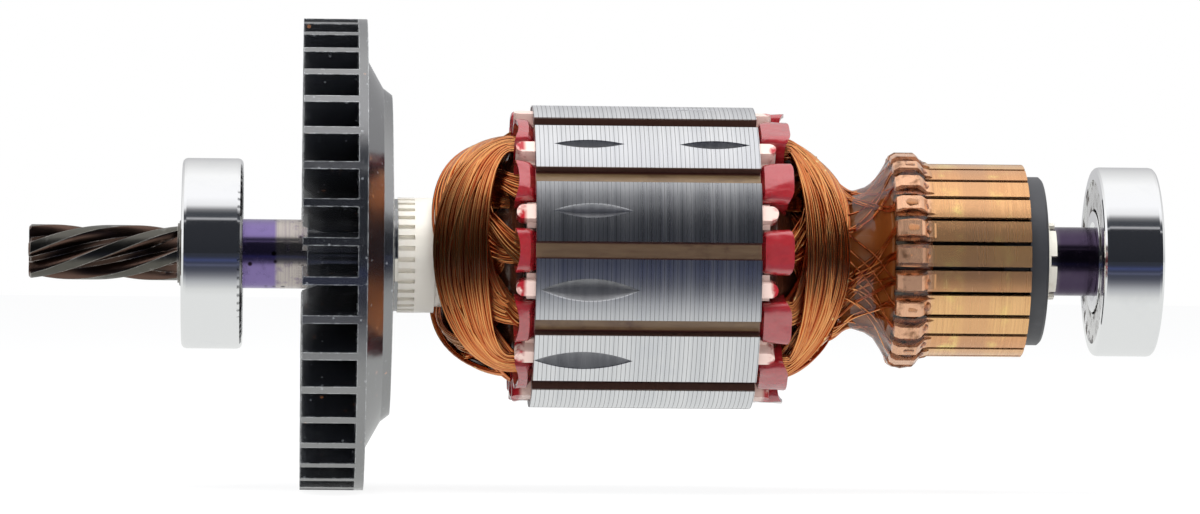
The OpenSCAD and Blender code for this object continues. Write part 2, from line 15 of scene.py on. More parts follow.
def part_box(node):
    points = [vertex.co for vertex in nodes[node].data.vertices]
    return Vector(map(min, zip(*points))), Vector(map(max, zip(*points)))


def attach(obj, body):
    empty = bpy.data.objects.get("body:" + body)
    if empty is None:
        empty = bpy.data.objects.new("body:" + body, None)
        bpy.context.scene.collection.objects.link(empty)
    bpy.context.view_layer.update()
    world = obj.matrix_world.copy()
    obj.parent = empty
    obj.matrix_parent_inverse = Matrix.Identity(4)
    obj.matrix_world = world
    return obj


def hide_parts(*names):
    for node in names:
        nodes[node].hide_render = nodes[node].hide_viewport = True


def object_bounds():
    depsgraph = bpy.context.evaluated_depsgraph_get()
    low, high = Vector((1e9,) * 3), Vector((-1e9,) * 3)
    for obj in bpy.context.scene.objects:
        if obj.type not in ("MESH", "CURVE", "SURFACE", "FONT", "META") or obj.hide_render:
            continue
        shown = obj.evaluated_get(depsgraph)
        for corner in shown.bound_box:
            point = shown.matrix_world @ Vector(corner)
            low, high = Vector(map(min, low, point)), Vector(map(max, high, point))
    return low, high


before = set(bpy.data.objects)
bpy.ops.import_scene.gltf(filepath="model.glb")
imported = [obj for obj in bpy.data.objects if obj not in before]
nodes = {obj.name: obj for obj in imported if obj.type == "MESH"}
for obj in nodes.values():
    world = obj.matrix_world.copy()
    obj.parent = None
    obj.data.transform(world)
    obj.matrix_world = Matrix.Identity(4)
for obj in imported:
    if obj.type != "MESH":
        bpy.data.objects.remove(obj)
cad_low, cad_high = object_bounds()
MM = 0.001
print("loaded", len(nodes), "nodes, box in mm", [round(v / MM, 1) for v in (*cad_low, *cad_high)])

# %% [markdown]
# ## Measures
# Places along the axis come from the boxes of the imported pieces, so that the looks follow the
# model. Radii, and what no box can show, such as the way in which a coil bends, are given.

# %% Places along the axis, in millimetres
def reach_x(node):
    """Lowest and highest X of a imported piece, in millimetres."""
    low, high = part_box(node)
    return low.x / MM, high.x / MM


core_x, core_end_x = reach_x("lamination_core")
comm_x, comm_end_x = reach_x("commutator_bar_01")
pinion_x, shaft_end_x = reach_x("shaft")
fan_x = reach_x("fan")[0]
journal_x = reach_x("drive_bearing_outer_ring")[0]
rear_x, rear_end_x = reach_x("commutator_bearing_outer_ring")
core_r, comm_r, shaft_r = 17.5, 11.2, 4.0
print("core", round(core_x, 2), round(core_end_x, 2), "commutator", round(comm_x, 2), round(comm_end_x, 2))

# %% [markdown]
# ## Camera
# A long lens from far away keeps the armature almost free of perspective. The camera stands
# opposite the fan and turns a little towards the commutator, which is why the far end of the
# shaft shows the face of its bearing.

# %% Camera
foot = Vector((8.0, -680.0, 0.0)) * MM
aim = Vector((44.86, 0.0, 0.0)) * MM
roll = math.radians(0.55)

camera = bpy.data.objects.new("camera", bpy.data.cameras.new("camera"))
bpy.context.scene.collection.objects.link(camera)
camera.data.sensor_width = 36
camera.data.lens = 176.1
camera.data.clip_start = 0.05
turn = math.atan2(aim.x - foot.x, aim.y - foot.y)
camera.matrix_world = (Matrix.Translation(foot) @ Matrix.Rotation(-turn, 4, "Z")
                       @ Matrix.Rotation(math.pi / 2, 4, "X") @ Matrix.Rotation(roll, 4, "Z"))
bpy.context.scene.camera = camera
print("camera", round((aim - foot).length, 3), "m from its aim")

# %% [markdown]
# ## Light
# The armature lies in a light tent: white above, behind and below, with one dark gap in front,
# where the camera stands. Polished steel is only as good as what it mirrors, so the gap gives the
# rings their black band, and a fold of the tent gives the thin line above it. A colour ramp over
# the height of a ray says what it meets. Rays that carry plain light to matte surfaces see an even
# white instead.

# %% Node helpers
def tree_of(owner):
    """An empty node tree of a material or world, and a function that adds a node to it."""
    owner.use_nodes = True
    tree = owner.node_tree
    tree.nodes.clear()
    return tree, maker(tree)


def maker(tree):
    """A function that adds a node: settings are attributes, inputs are numbers, colours or sockets."""
    def add(kind, inputs=None, **settings):
        node = tree.nodes.new("ShaderNode" + kind)
        for name, value in settings.items():
            setattr(node, name, value)
        for name, value in (inputs or {}).items():
            socket = node.inputs[name]
            if isinstance(value, bpy.types.NodeSocket):
                tree.links.new(value, socket)
            else:
                socket.default_value = value
        return node
    return add


def calc(add, kind, a, b=0.0, clamp=False):
    """One Math node."""
    return add("Math", {0: a, 1: b}, operation=kind, use_clamp=clamp).outputs[0]


def ramp(add, value, stops):
    """The colour of a ramp at value. stops are (place from 0 to 1, (red, green, blue))."""
    node = add("ValToRGB", {0: value})
    cells = node.color_ramp.elements
    cells.remove(cells[1])
    cells[0].position, cells[0].color = stops[0][0], (*stops[0][1], 1)
    for place, colour in stops[1:]:
        cells.new(place).color = (*colour, 1)
    return node.outputs[0]

# %% World
tent_by_height = [  # from straight ahead (0) over the top (0.5) to straight behind (1)
    (0.0, (0.022, 0.024, 0.030)), (0.224, (0.028, 0.030, 0.036)), (0.232, (0.50, 0.50, 0.52)),
    (0.238, (0.50, 0.50, 0.52)), (0.245, (0.05, 0.055, 0.065)), (0.278, (0.07, 0.075, 0.085)),
    (0.302, (0.22, 0.22, 0.23)), (0.335, (0.92, 0.92, 0.93)), (0.40, (1.08, 1.08, 1.10)),
    (0.60, (1.08, 1.08, 1.08)), (0.75, (0.82, 0.82, 0.82)), (0.90, (0.60, 0.60, 0.61))]


def build_world():
    """The tent for mirrored rays, an even white for matte ones, and white for the camera."""
    world = bpy.data.worlds.new("light_tent")
    bpy.context.scene.world = world
    add = tree_of(world)[1]
    _, y, z = add("SeparateXYZ", {0: add("TexCoord").outputs["Generated"]}).outputs
    height = calc(add, "ARCTAN2", z, calc(add, "MULTIPLY", y, -1.0))
    height = calc(add, "DIVIDE", calc(add, "ABSOLUTE", height), math.pi)
    path = add("LightPath")
    matte = add("Background", {"Color": (0.93, 0.95, 1, 1), "Strength": 0.62})
    mirrored = add("Background", {"Color": ramp(add, height, tent_by_height), "Strength": 1.0})
    seen = add("Background", {"Color": (1, 1, 1, 1), "Strength": 1.0})
    glossy = add("MixShader", {0: path.outputs["Is Glossy Ray"], 1: matte.outputs[0],
                               2: mirrored.outputs[0]})
    clear = calc(add, "MAXIMUM", path.outputs["Is Camera Ray"], path.outputs["Is Transmission Ray"])
    out = add("MixShader", {0: clear, 1: glossy.outputs[0], 2: seen.outputs[0]})
    add("OutputWorld", {"Surface": out.outputs[0]})


def area_light(name, place, aim_at, size, power):
    """A soft square lamp that lights matte surfaces and isn't mirrored in the steel."""
    data = bpy.data.lights.new(name, "AREA")
    data.size, data.energy = size, power
    lamp = bpy.data.objects.new(name, data)
    bpy.context.scene.collection.objects.link(lamp)
    lamp.location = place
    lamp.rotation_euler = (Vector(aim_at) - Vector(place)).to_track_quat("-Z", "Y").to_euler()
    lamp.visible_glossy = lamp.visible_camera = lamp.visible_transmission = False


build_world()
middle = (0.045, 0, 0)
area_light("key", (0.02, -0.25, 0.75), middle, 0.7, 9.0)
area_light("fill", (0.10, -0.80, -0.015), middle, 0.5, 2.2)
bpy.context.scene.view_settings.view_transform = "Standard"

# %% Floor
floor_by_steepness = [  # what a mirrored ray meets: 0 is far in front, 1 is under the armature
    (0.0, (0.030, 0.033, 0.040)), (0.10, (0.032, 0.036, 0.05)), (0.13, (0.055, 0.07, 0.17)),
    (0.17, (0.05, 0.06, 0.12)), (0.20, (0.042, 0.047, 0.075)), (0.24, (0.10, 0.11, 0.17)),
    (0.28, (0.055, 0.06, 0.085)), (0.36, (0.08, 0.085, 0.11)), (0.45, (0.18, 0.185, 0.21)),
    (0.60, (0.46, 0.47, 0.49)), (0.80, (0.74, 0.75, 0.74)), (1.0, (0.82, 0.83, 0.82))]


def build_floor():
    """A pale sheet just under the fan. The camera sees it glow to white, with a soft shadow on it.
    Mirrored rays see it white near the armature and dark in front, like the gap of the tent."""
    low = cad_low.z
    half = 3.0
    mesh = bpy.data.meshes.new("floor")
    corners = [(-half, -half, low), (half, -half, low), (half, half, low), (-half, half, low)]
    mesh.from_pydata(corners, [], [(0, 1, 2, 3)])
    floor = bpy.data.objects.new("floor", mesh)
    bpy.context.scene.collection.objects.link(floor)
    material = bpy.data.materials.new("floor_white")
    add = tree_of(material)[1]
    plain = add("BsdfDiffuse", {"Color": (0.82, 0.82, 0.82, 1)})
    glow = add("Emission", {"Color": (1, 1, 1, 1), "Strength": 1.08})
    path = add("LightPath")
    seen = calc(add, "MAXIMUM", path.outputs["Is Camera Ray"], path.outputs["Is Transmission Ray"])
    lit = add("MixShader", {0: calc(add, "MULTIPLY", seen, 0.82), 1: plain.outputs[0], 2: glow.outputs[0]})
    y = add("SeparateXYZ", {0: add("TexCoord").outputs["Object"]}).outputs["Y"]
    ahead = calc(add, "MAXIMUM", calc(add, "MULTIPLY", y, -1.0), MM)
    steep = calc(add, "DIVIDE", -low, ahead)
    mirrored = add("Emission", {"Color": ramp(add, steep, floor_by_steepness), "Strength": 1.0})
    out = add("MixShader", {0: path.outputs["Is Glossy Ray"], 1: lit.outputs[0], 2: mirrored.outputs[0]})
    add("OutputMaterial", {"Surface": out.outputs[0]})
    mesh.materials.append(material)


build_floor()
print("tent, two lamps and a floor at z =", round(cad_low.z / MM, 1), "mm")

# %% [markdown]
# ## Shared effects
# Grain, patches, specks and rubbed edges appear in most finishes, each with its own strength. Each
# is a node group with named inputs, built once. The groups read Object coordinates, which are the
# same for every piece, because all objects sit at the origin.

# %% Node groups
def group(name, inputs, output):
    """A new shader group with float inputs and one output: its tree, adder, inputs and output."""
    tree = bpy.data.node_groups.new(name, "ShaderNodeTree")
    for label, default in inputs.items():
        socket = tree.interface.new_socket(label, in_out="INPUT", socket_type="NodeSocketFloat")
        socket.default_value = default
    tree.interface.new_socket(output, in_out="OUTPUT", socket_type="NodeSocketFloat")
    given = tree.nodes.new("NodeGroupInput")
    result = tree.nodes.new("NodeGroupOutput")
    return tree, maker(tree), given.outputs, result.inputs[output]


def around_axis(add):
    """(along, turn, radius): X, the share of a full turn round X, 0 in front and growing downwards,
    and the distance from X. The seam of the turn lies at the back."""
    x, y, z = add("SeparateXYZ", {0: add("TexCoord").outputs["Object"]}).outputs
    angle = calc(add, "ARCTAN2", calc(add, "MULTIPLY", z, -1.0), calc(add, "MULTIPLY", y, -1.0))
    yz = add("CombineXYZ", {"Y": y, "Z": z}).outputs[0]
    length = add("VectorMath", {0: yz}, operation="LENGTH").outputs["Value"]
    return x, calc(add, "DIVIDE", angle, 2 * math.pi), length


def turned_grain_group():
    """Fine rings round the axis, as a lathe leaves them: a noise that changes fast with X plus the
    radius, and slowly across the axis, so that each ring fades in and out on its way round."""
    tree, add, given, result = group("turned_grain", {"Pitch": 0.0002, "Seed": 0.0}, "Value")
    length = around_axis(add)[2]
    x, y, z = add("SeparateXYZ", {0: add("TexCoord").outputs["Object"]}).outputs
    fast = calc(add, "DIVIDE", calc(add, "ADD", x, length), given["Pitch"])
    slow = 90.0
    place = add("CombineXYZ", {"X": fast, "Y": calc(add, "MULTIPLY", y, slow),
                               "Z": calc(add, "MULTIPLY", z, slow)}).outputs[0]
    noise = add("TexNoise", {"Vector": place, "W": given["Seed"], "Scale": 1.0, "Detail": 3.0},
                noise_dimensions="4D")
    centred = add("MapRange", {"Value": noise.outputs[0], 1: 0.3, 2: 0.7})
    tree.links.new(centred.outputs[0], result)
    return tree


def blotch_group():
    """Soft patches of dirt, heat or varnish: a noise of the given size, cut to a mask."""
    tree, add, given, result = group("blotches", {"Size": 0.004, "Cover": 0.5, "Edge": 0.15, "Seed": 0.0},
                                     "Mask")
    scale = calc(add, "DIVIDE", 1.0, given["Size"])
    noise = add("TexNoise", {"Vector": add("TexCoord").outputs["Object"], "W": given["Seed"],
                             "Scale": scale, "Detail": 4.0, "Roughness": 0.6}, noise_dimensions="4D")
    start = add("MapRange", {"Value": given["Cover"], 3: 0.72, 4: 0.28}).outputs[0]
    end = calc(add, "ADD", start, given["Edge"])
    mask = add("MapRange", {"Value": noise.outputs[0], 1: start, 2: end}, interpolation_type="SMOOTHSTEP")
    tree.links.new(mask.outputs[0], result)
    return tree


def speck_group():
    """Dust and spatter: the middles of Voronoi cells, of which a random share is shown."""
    tree, add, given, result = group("specks", {"Size": 0.0005, "Cover": 0.3, "Seed": 0.0}, "Mask")
    cells = add("TexVoronoi", {"Vector": add("TexCoord").outputs["Object"], "W": given["Seed"],
                               "Scale": calc(add, "DIVIDE", 1.0, given["Size"])}, voronoi_dimensions="4D")
    near = add("MapRange", {"Value": cells.outputs["Distance"], 1: 0.34, 2: 0.20}).outputs[0]
    lot = add("SeparateColor", {0: cells.outputs["Color"]}).outputs[0]
    shown = calc(add, "LESS_THAN", lot, given["Cover"])
    tree.links.new(calc(add, "MULTIPLY", near, shown), result)
    return tree


def edge_wear_and_glint_group():
    """Edges where a finish is rubbed through, and on the pinion a painted highlight along the edges as
    well: the Bevel node bends the normal near an edge, and its difference from the true normal, broken up
    by noise, is the mask."""
    tree, add, given, result = group("edge_wear_and_glint", {"Width": 0.0004, "Amount": 0.5, "Seed": 0.0}, "Mask")
    bevel = add("Bevel", {"Radius": given["Width"]}, samples=4)
    true = add("NewGeometry").outputs["Normal"]
    same = add("VectorMath", {0: bevel.outputs[0], 1: true}, operation="DOT_PRODUCT").outputs["Value"]
    edge = add("MapRange", {"Value": same, 1: 0.995, 2: 0.90}).outputs[0]
    noise = add("TexNoise", {"Vector": add("TexCoord").outputs["Object"], "W": given["Seed"],
                             "Scale": 900.0, "Detail": 3.0}, noise_dimensions="4D")
    patchy = add("MapRange", {"Value": noise.outputs[0], 1: 0.62, 2: 0.38, 3: 0.3}).outputs[0]
    rubbed = calc(add, "MULTIPLY", edge, patchy)
    tree.links.new(calc(add, "MULTIPLY", rubbed, given["Amount"], clamp=True), result)
    return tree


turned_grain, blotches, specks, edge_wear_and_glint = (
    turned_grain_group(), blotch_group(), speck_group(), edge_wear_and_glint_group())
print("shared groups:", turned_grain.name, blotches.name, specks.name, edge_wear_and_glint.name)

# %% A material with room for shared effects
def finish_of(name):
    """A new material: (adder, function that places a shared group, function that closes it)."""
    material = bpy.data.materials.new(name)
    tree, add = tree_of(material)

    def effect(shared, **values):
        placed = tree.nodes.new("ShaderNodeGroup")
        placed.node_tree = shared
        for label, value in values.items():
            placed.inputs[label].default_value = value
        return placed.outputs[0]

    def close(**values):
        shader = add("BsdfPrincipled", {label.replace("_", " "): value for label, value in values.items()})
        add("OutputMaterial", {"Surface": shader.outputs[0]})
        return material

    return add, effect, close


def blend_colours(add, mask, low, high):
    """The colour between low and high that the mask says."""
    ends = [end if isinstance(end, bpy.types.NodeSocket) else (*end, 1) for end in (low, high)]
    return add("Mix", {0: mask, 6: ends[0], 7: ends[1]}, data_type="RGBA").outputs[2]


def scale_value(add, mask, low, high):
    """The number between low and high that the mask says."""
    return add("MapRange", {"Value": mask, 3: low, 4: high}).outputs[0]


def between(add, value, low, high):
    """0 below low and 1 above high, softly. With low over high it falls instead."""
    return add("MapRange", {"Value": value, 1: low, 2: high}, interpolation_type="SMOOTHSTEP").outputs[0]


def bump(add, height, strength, distance):
    """A normal bent by a height in units of distance, in metres."""
    return add("Bump", {"Height": height, "Strength": strength, "Distance": distance}).outputs[0]


def fine_noise(add, scale, detail=2.0, stretch=(1, 1, 1)):
    """Plain noise on Object coordinates, drawn out where stretch is small."""
    place = add("Mapping", {"Vector": add("TexCoord").outputs["Object"], "Scale": stretch}).outputs[0]
    return add("TexNoise", {"Vector": place, "Scale": scale, "Detail": detail}).outputs[0]


def dress(material, *names):
    """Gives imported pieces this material."""
    for name in names:
        slots = nodes[name].data.materials
        slots.clear()
        slots.append(material)


def nearest_of(add, turn_share, first_deg, count):
    """Of count even places round the axis: the number of the nearest, and how far off it is, in
    shares of the pitch."""
    steps = calc(add, "SUBTRACT", turn_share, first_deg / 360)
    steps = calc(add, "MULTIPLY", steps, float(count))
    number = calc(add, "ROUND", steps)
    off = calc(add, "ABSOLUTE", calc(add, "SUBTRACT", steps, number))
    return calc(add, "FLOORED_MODULO", number, float(count)), off

# %% [markdown]
# ## Bearing steel
# Ground rings are almost mirrors. Fine rings from the grinder and a few smears make them read as
# steel and not as glass. The pressed shields are duller, with dark grease in their two rims.

# %% Bearing finishes
def ring_finish():
    """Bright ground steel with faint grinding rings and smears."""
    add, effect, close = finish_of("ground_steel")
    grain = effect(turned_grain, Pitch=0.00012, Seed=1.0)
    smear = effect(blotches, Size=0.006, Cover=0.45, Edge=0.3, Seed=2.0)
    colour = blend_colours(add, smear, (0.88, 0.885, 0.89), (0.80, 0.81, 0.83))
    rough = scale_value(add, smear, 0.08, 0.16)
    return close(Base_Color=colour, Metallic=1.0, Roughness=rough, Normal=bump(add, grain, 0.12, 0.000004))


def shield_finish():
    """Pressed sheet steel, with dark grease where it meets the rings."""
    add, effect, close = finish_of("pressed_shield")
    length = around_axis(add)[2]
    outer_rim = between(add, length, 8.1 * MM, 8.9 * MM)
    inner_rim = between(add, length, 7.1 * MM, 6.4 * MM)
    rims = calc(add, "MAXIMUM", outer_rim, inner_rim)
    grime = effect(blotches, Size=0.0016, Cover=0.52, Edge=0.12, Seed=5.0)
    grime = calc(add, "MULTIPLY", grime, scale_value(add, rims, 0.2, 1.0))
    colour = blend_colours(add, grime, (0.75, 0.745, 0.73), (0.10, 0.075, 0.055))
    metal = scale_value(add, grime, 1.0, 0.2)
    rough = scale_value(add, grime, 0.22, 0.55)
    return close(Base_Color=colour, Metallic=metal, Roughness=rough, Normal=bump(add, grime, 0.25, 0.0001))


def brass_finish():
    """Machined brass of the cages."""
    add, effect, close = finish_of("cage_brass")
    grain = effect(turned_grain, Pitch=0.0002, Seed=3.0)
    colour = blend_colours(add, grain, (0.60, 0.44, 0.20), (0.72, 0.56, 0.30))
    return close(Base_Color=colour, Metallic=1.0, Roughness=0.3)


ring_steel, shield_steel, cage_brass = ring_finish(), shield_finish(), brass_finish()
for end in ("drive", "commutator"):
    dress(ring_steel, *[f"{end}_bearing_{p}" for p in ("outer_ring", "inner_ring", "balls")])
    dress(shield_steel, f"{end}_bearing_shield_1", f"{end}_bearing_shield_2")
    dress(cage_brass, f"{end}_bearing_cage")
print("bearings dressed")

# %% [markdown]
# ## Fan
# Black moulded plastic, so glossy that its edges flash white under the tent while the blades in
# the middle stay black. Its edges are rubbed, and it carries the fine dust that the motor throws.

# %% Fan finish
def fan_finish():
    """Glossy black plastic with rubbed edges and pale and coppery dust. Its IOR is far above that of
    real plastic, which is what lets the edges flash."""
    add, effect, close = finish_of("fan_plastic")
    wear = effect(edge_wear_and_glint, Width=0.00022, Amount=0.75, Seed=1.0)
    haze = effect(blotches, Size=0.003, Cover=0.45, Edge=0.35, Seed=4.0)
    dust = effect(specks, Size=0.0006, Cover=0.16, Seed=2.0)
    copper_dust = effect(specks, Size=0.0009, Cover=0.08, Seed=3.0)
    colour = blend_colours(add, haze, (0.010, 0.011, 0.014), (0.022, 0.024, 0.028))
    colour = blend_colours(add, dust, colour, (0.16, 0.17, 0.18))
    colour = blend_colours(add, copper_dust, colour, (0.30, 0.12, 0.05))
    colour = blend_colours(add, wear, colour, (0.46, 0.48, 0.49))
    rough = scale_value(add, haze, 0.14, 0.30)
    rough = calc(add, "ADD", rough, calc(add, "MULTIPLY", wear, 0.25))
    return close(Base_Color=colour, Roughness=rough, IOR=3.4,
                 Normal=bump(add, fine_noise(add, 900.0), 0.15, 0.00006))


dress(fan_finish(), "fan")

# %% [markdown]
# ## Core
# Fifty-odd sheets of electrical steel, each half a millimetre thick. On the turned outside each
# sheet is a bright line and each joint a dark one. The lines come from X alone, so they run round
# the core, into its slots and over the milled balance cuts alike. The flanks of the slot mouths get a
# painted shade of dark brown, which stands in for the shadow inside the slots.

# %% Core finish
sheet_t = 0.5
slots, first_slot = 12, -62.5
slot_pitch = 360 / slots
mouth_deg = 3.7  # half the width of a slot mouth with its flanks painted dark brown as shade


def core_finish():
    """Bright steel with a dark joint every sheet, a tone per sheet, and slot mouths painted dark brown as
    the shade inside the slots.
    """
    add, effect, close = finish_of("core_sheets")
    x, turn_share, length = around_axis(add)
    count = calc(add, "DIVIDE", x, sheet_t * MM)
    off_joint = calc(add, "ABSOLUTE", calc(add, "SUBTRACT", calc(add, "FRACT", count), 0.5))
    joint = between(add, off_joint, 0.10, 0.0)
    tone = add("TexWhiteNoise", {"W": calc(add, "FLOOR", count)}, noise_dimensions="1D").outputs["Value"]
    smear = effect(blotches, Size=0.006, Cover=0.45, Edge=0.4, Seed=6.0)
    scratch = fine_noise(add, 1500.0, 2.0, (1, 0.12, 0.12))
    steel = blend_colours(add, tone, (0.72, 0.73, 0.75), (0.84, 0.845, 0.86))
    steel = blend_colours(add, smear, steel, (0.66, 0.68, 0.73))
    steel = blend_colours(add, joint, steel, (0.16, 0.15, 0.16))
    off = nearest_of(add, turn_share, first_slot, slots)[1]
    mouth = between(add, off, (mouth_deg + 0.5) / slot_pitch, mouth_deg / slot_pitch)
    under = between(add, length, (core_r - 0.04) * MM, (core_r - 0.16) * MM)
    # painted shade: the flanks of the slot mouths, below the turned surface, are painted dark brown for the
    # shadow inside the slots
    brown = calc(add, "MULTIPLY", mouth, under)
    milled = calc(add, "SUBTRACT", under, brown)
    bare = blend_colours(add, scratch, (0.50, 0.50, 0.51), (0.85, 0.85, 0.86))
    colour = blend_colours(add, milled, steel, bare)
    colour = blend_colours(add, brown, colour, (0.075, 0.035, 0.028))
    rough = calc(add, "ADD", scale_value(add, tone, 0.26, 0.36), calc(add, "MULTIPLY", under, 0.18))
    height = calc(add, "SUBTRACT", calc(add, "MULTIPLY", scratch, 0.25), joint)
    return close(Base_Color=colour, Metallic=scale_value(add, brown, 1.0, 0.3), Roughness=rough,
                 Normal=bump(add, height, 0.45, 0.00004))


dress(core_finish(), "lamination_core")

# %% [markdown]
# ## Insulation
# The moulded end pieces are ivory, with a drop of red varnish on the tips of their fingers. The
# slot liners are red varnished paper, so glossy that they show white lights, with the varnish
# pooled in soft waves. The wedges that close the slots are tan fibre with darker varnish stains,
# and a painted shade darkens them towards the flanks of the slot mouths.

# %% Insulation finishes
def insulator_finish():
    """Ivory moulding, slightly stained, with red varnish on the outer ends of the fingers."""
    add, effect, close = finish_of("insulator_ivory")
    x, _, length = around_axis(add)
    stain = effect(blotches, Size=0.003, Cover=0.42, Edge=0.4, Seed=12.0)
    ivory = blend_colours(add, stain, (0.86, 0.82, 0.73), (0.72, 0.64, 0.52))
    drip = effect(blotches, Size=0.0034, Cover=0.62, Edge=0.10, Seed=13.0)
    finger_r = 15.0
    on_fingers = between(add, length, (finger_r - 0.1) * MM, (finger_r + 0.1) * MM)
    off_core = calc(add, "MAXIMUM", calc(add, "SUBTRACT", core_x * MM, x),
                    calc(add, "SUBTRACT", x, core_end_x * MM))
    tips = between(add, off_core, 0.9 * MM, 1.5 * MM)
    red = calc(add, "MULTIPLY", calc(add, "MULTIPLY", drip, tips), on_fingers)
    pink = calc(add, "MULTIPLY", on_fingers, 0.55)
    colour = blend_colours(add, pink, ivory, (0.66, 0.33, 0.28))
    colour = blend_colours(add, red, colour, (0.36, 0.012, 0.02))
    return close(Base_Color=colour, Roughness=scale_value(add, red, 0.32, 0.08), IOR=1.7,
                 Normal=bump(add, fine_noise(add, 1100.0), 0.10, 0.00004))


def bush_finish():
    """The pale moulded bush round the shaft."""
    add, effect, close = finish_of("bush_ivory")
    stain = effect(blotches, Size=0.002, Cover=0.45, Edge=0.4, Seed=18.0)
    colour = blend_colours(add, stain, (0.84, 0.80, 0.70), (0.60, 0.52, 0.38))
    return close(Base_Color=colour, Roughness=0.4, Normal=bump(add, fine_noise(add, 1600.0), 0.1, 0.00004))


def liner_finish():
    """Deep red varnish over paper: crinkled, pooled and very glossy."""
    add, effect, close = finish_of("liner_varnish")
    pool = effect(blotches, Size=0.0030, Cover=0.5, Edge=0.45, Seed=14.0)
    colour = blend_colours(add, pool, (0.30, 0.010, 0.016), (0.14, 0.005, 0.009))
    crinkle = fine_noise(add, 430.0, 2.0)
    return close(Base_Color=colour, Roughness=0.25, IOR=1.9, Coat_Weight=1.0, Coat_Roughness=0.04,
                 Coat_IOR=1.7, Normal=bump(add, crinkle, 1.0, 0.0005))


def wedge_finish():
    """Fibre with long grain along the slot: olive tan in places, nearly black in others, from varnish
    stains and from a painted shade towards the flanks of the slot mouth.
    """
    add, effect, close = finish_of("wedge_fibre")
    turn_share = around_axis(add)[1]
    grain = fine_noise(add, 2400.0, 3.0, (0.12, 1, 1))
    number, off = nearest_of(add, turn_share, first_slot, slots)
    lot = add("TexWhiteNoise", {"W": number}, noise_dimensions="1D").outputs["Value"]
    stain = effect(blotches, Size=0.0042, Cover=0.5, Edge=0.3, Seed=15.0)
    # the near-black mask is partly varnish stain, by patch and by slot, and with the flank term below
    # partly painted shade
    soaked = calc(add, "ADD", calc(add, "MULTIPLY", stain, 0.7), calc(add, "MULTIPLY", lot, 0.5))
    # painted shade: darker towards the flanks of the slot mouth, where the tooth tips shade the wedge
    edge = between(add, off, 2.0 / slot_pitch, 3.2 / slot_pitch)
    soaked = calc(add, "MAXIMUM", calc(add, "MINIMUM", soaked, 1.0), edge)
    tan = blend_colours(add, grain, (0.13, 0.075, 0.034), (0.30, 0.20, 0.10))
    colour = blend_colours(add, soaked, tan, (0.045, 0.012, 0.010))
    return close(Base_Color=colour, Roughness=0.30, Coat_Weight=0.4, Coat_Roughness=0.12,
                 Normal=bump(add, grain, 0.35, 0.00006))


insulator_ivory, liner_varnish = insulator_finish(), liner_finish()
dress(insulator_ivory, "drive_end_insulator", "commutator_end_insulator")
dress(bush_finish(), "insulating_bush")
dress(wedge_finish(), "slot_wedges")
print("insulation dressed")

# %% [markdown]
# ## Commutator
# The copper bars are turned bright, then the brushes darken the track between two cleaner bands.
# Each bar took a slightly different colour, from yellow gold to brown. A hash of the bar's number
# round the axis gives that tone, so it stays the same along the bar.

# %% Commutator finishes
bar_count, first_bar = 24, -2.5
hook_end_x = comm_x + 4.6


def bar_finish():
    """Turned copper: bands along X, a tone per bar, yellow where the brushes polish it, brown
    resin over the hooks, and a painted shade on the bars below their turned surface, in the slits."""
    add, effect, close = finish_of("bar_copper")
    x, turn_share, length = around_axis(add)
    number = nearest_of(add, turn_share, first_bar, bar_count)[0]
    tone = add("TexWhiteNoise", {"W": number}, noise_dimensions="1D").outputs["Value"]
    grain = effect(turned_grain, Pitch=0.00018, Seed=21.0)
    cloud = effect(blotches, Size=0.0035, Cover=0.5, Edge=0.5, Seed=22.0)
    patch = effect(blotches, Size=0.0030, Cover=0.55, Edge=0.25, Seed=27.0)

    def band(start, end, soft):
        """A band of the track, from start to end in millimetres past the hooks."""
        rise = between(add, x, (hook_end_x + start - soft) * MM, (hook_end_x + start + soft) * MM)
        fall = between(add, x, (hook_end_x + end + soft) * MM, (hook_end_x + end - soft) * MM)
        return calc(add, "MULTIPLY", rise, fall)

    copper = blend_colours(add, tone, (0.80, 0.42, 0.20), (0.92, 0.57, 0.26))
    copper = blend_colours(add, cloud, copper, (0.80, 0.38, 0.18))
    polished = calc(add, "MAXIMUM", band(0.9, 3.2, 0.4), band(6.4, 8.6, 0.5))
    gold = calc(add, "MULTIPLY", polished, patch)
    copper = blend_colours(add, gold, copper, (0.99, 0.74, 0.27))
    copper = blend_colours(add, calc(add, "MULTIPLY", grain, 0.35), copper, (0.50, 0.23, 0.11))
    copper = blend_colours(add, band(3.2, 6.4, 0.6), copper, blend_colours(
        add, tone, (0.66, 0.35, 0.18), (0.80, 0.46, 0.22)))
    hook = between(add, x, (hook_end_x - 0.1) * MM, (hook_end_x - 0.9) * MM)
    hook_stain = effect(blotches, Size=0.0015, Cover=0.5, Edge=0.2, Seed=23.0)
    hook_colour = blend_colours(add, hook_stain, (0.78, 0.44, 0.27), (0.26, 0.12, 0.06))
    colour = blend_colours(add, hook, copper, hook_colour)
    # painted shade: the bars darken below their turned surface, in the slits between them
    slit_shade = between(add, length, (comm_r - 0.25) * MM, (comm_r - 0.6) * MM)
    colour = blend_colours(add, slit_shade, colour, (0.05, 0.025, 0.015))
    metal = scale_value(add, hook, 0.86, 0.75)
    rough = scale_value(add, grain, 0.17, 0.30)
    return close(Base_Color=colour, Metallic=metal, Roughness=rough, Normal=bump(add, grain, 0.30, 0.00001))


def moulding_finish():
    """Black-grey phenolic moulding with a fine grain."""
    add, effect, close = finish_of("hub_phenolic")
    dust = effect(blotches, Size=0.002, Cover=0.45, Edge=0.4, Seed=24.0)
    colour = blend_colours(add, dust, (0.030, 0.031, 0.036), (0.075, 0.075, 0.080))
    return close(Base_Color=colour, Roughness=0.42, IOR=1.6,
                 Normal=bump(add, fine_noise(add, 2200.0, 3.0), 0.2, 0.00004))


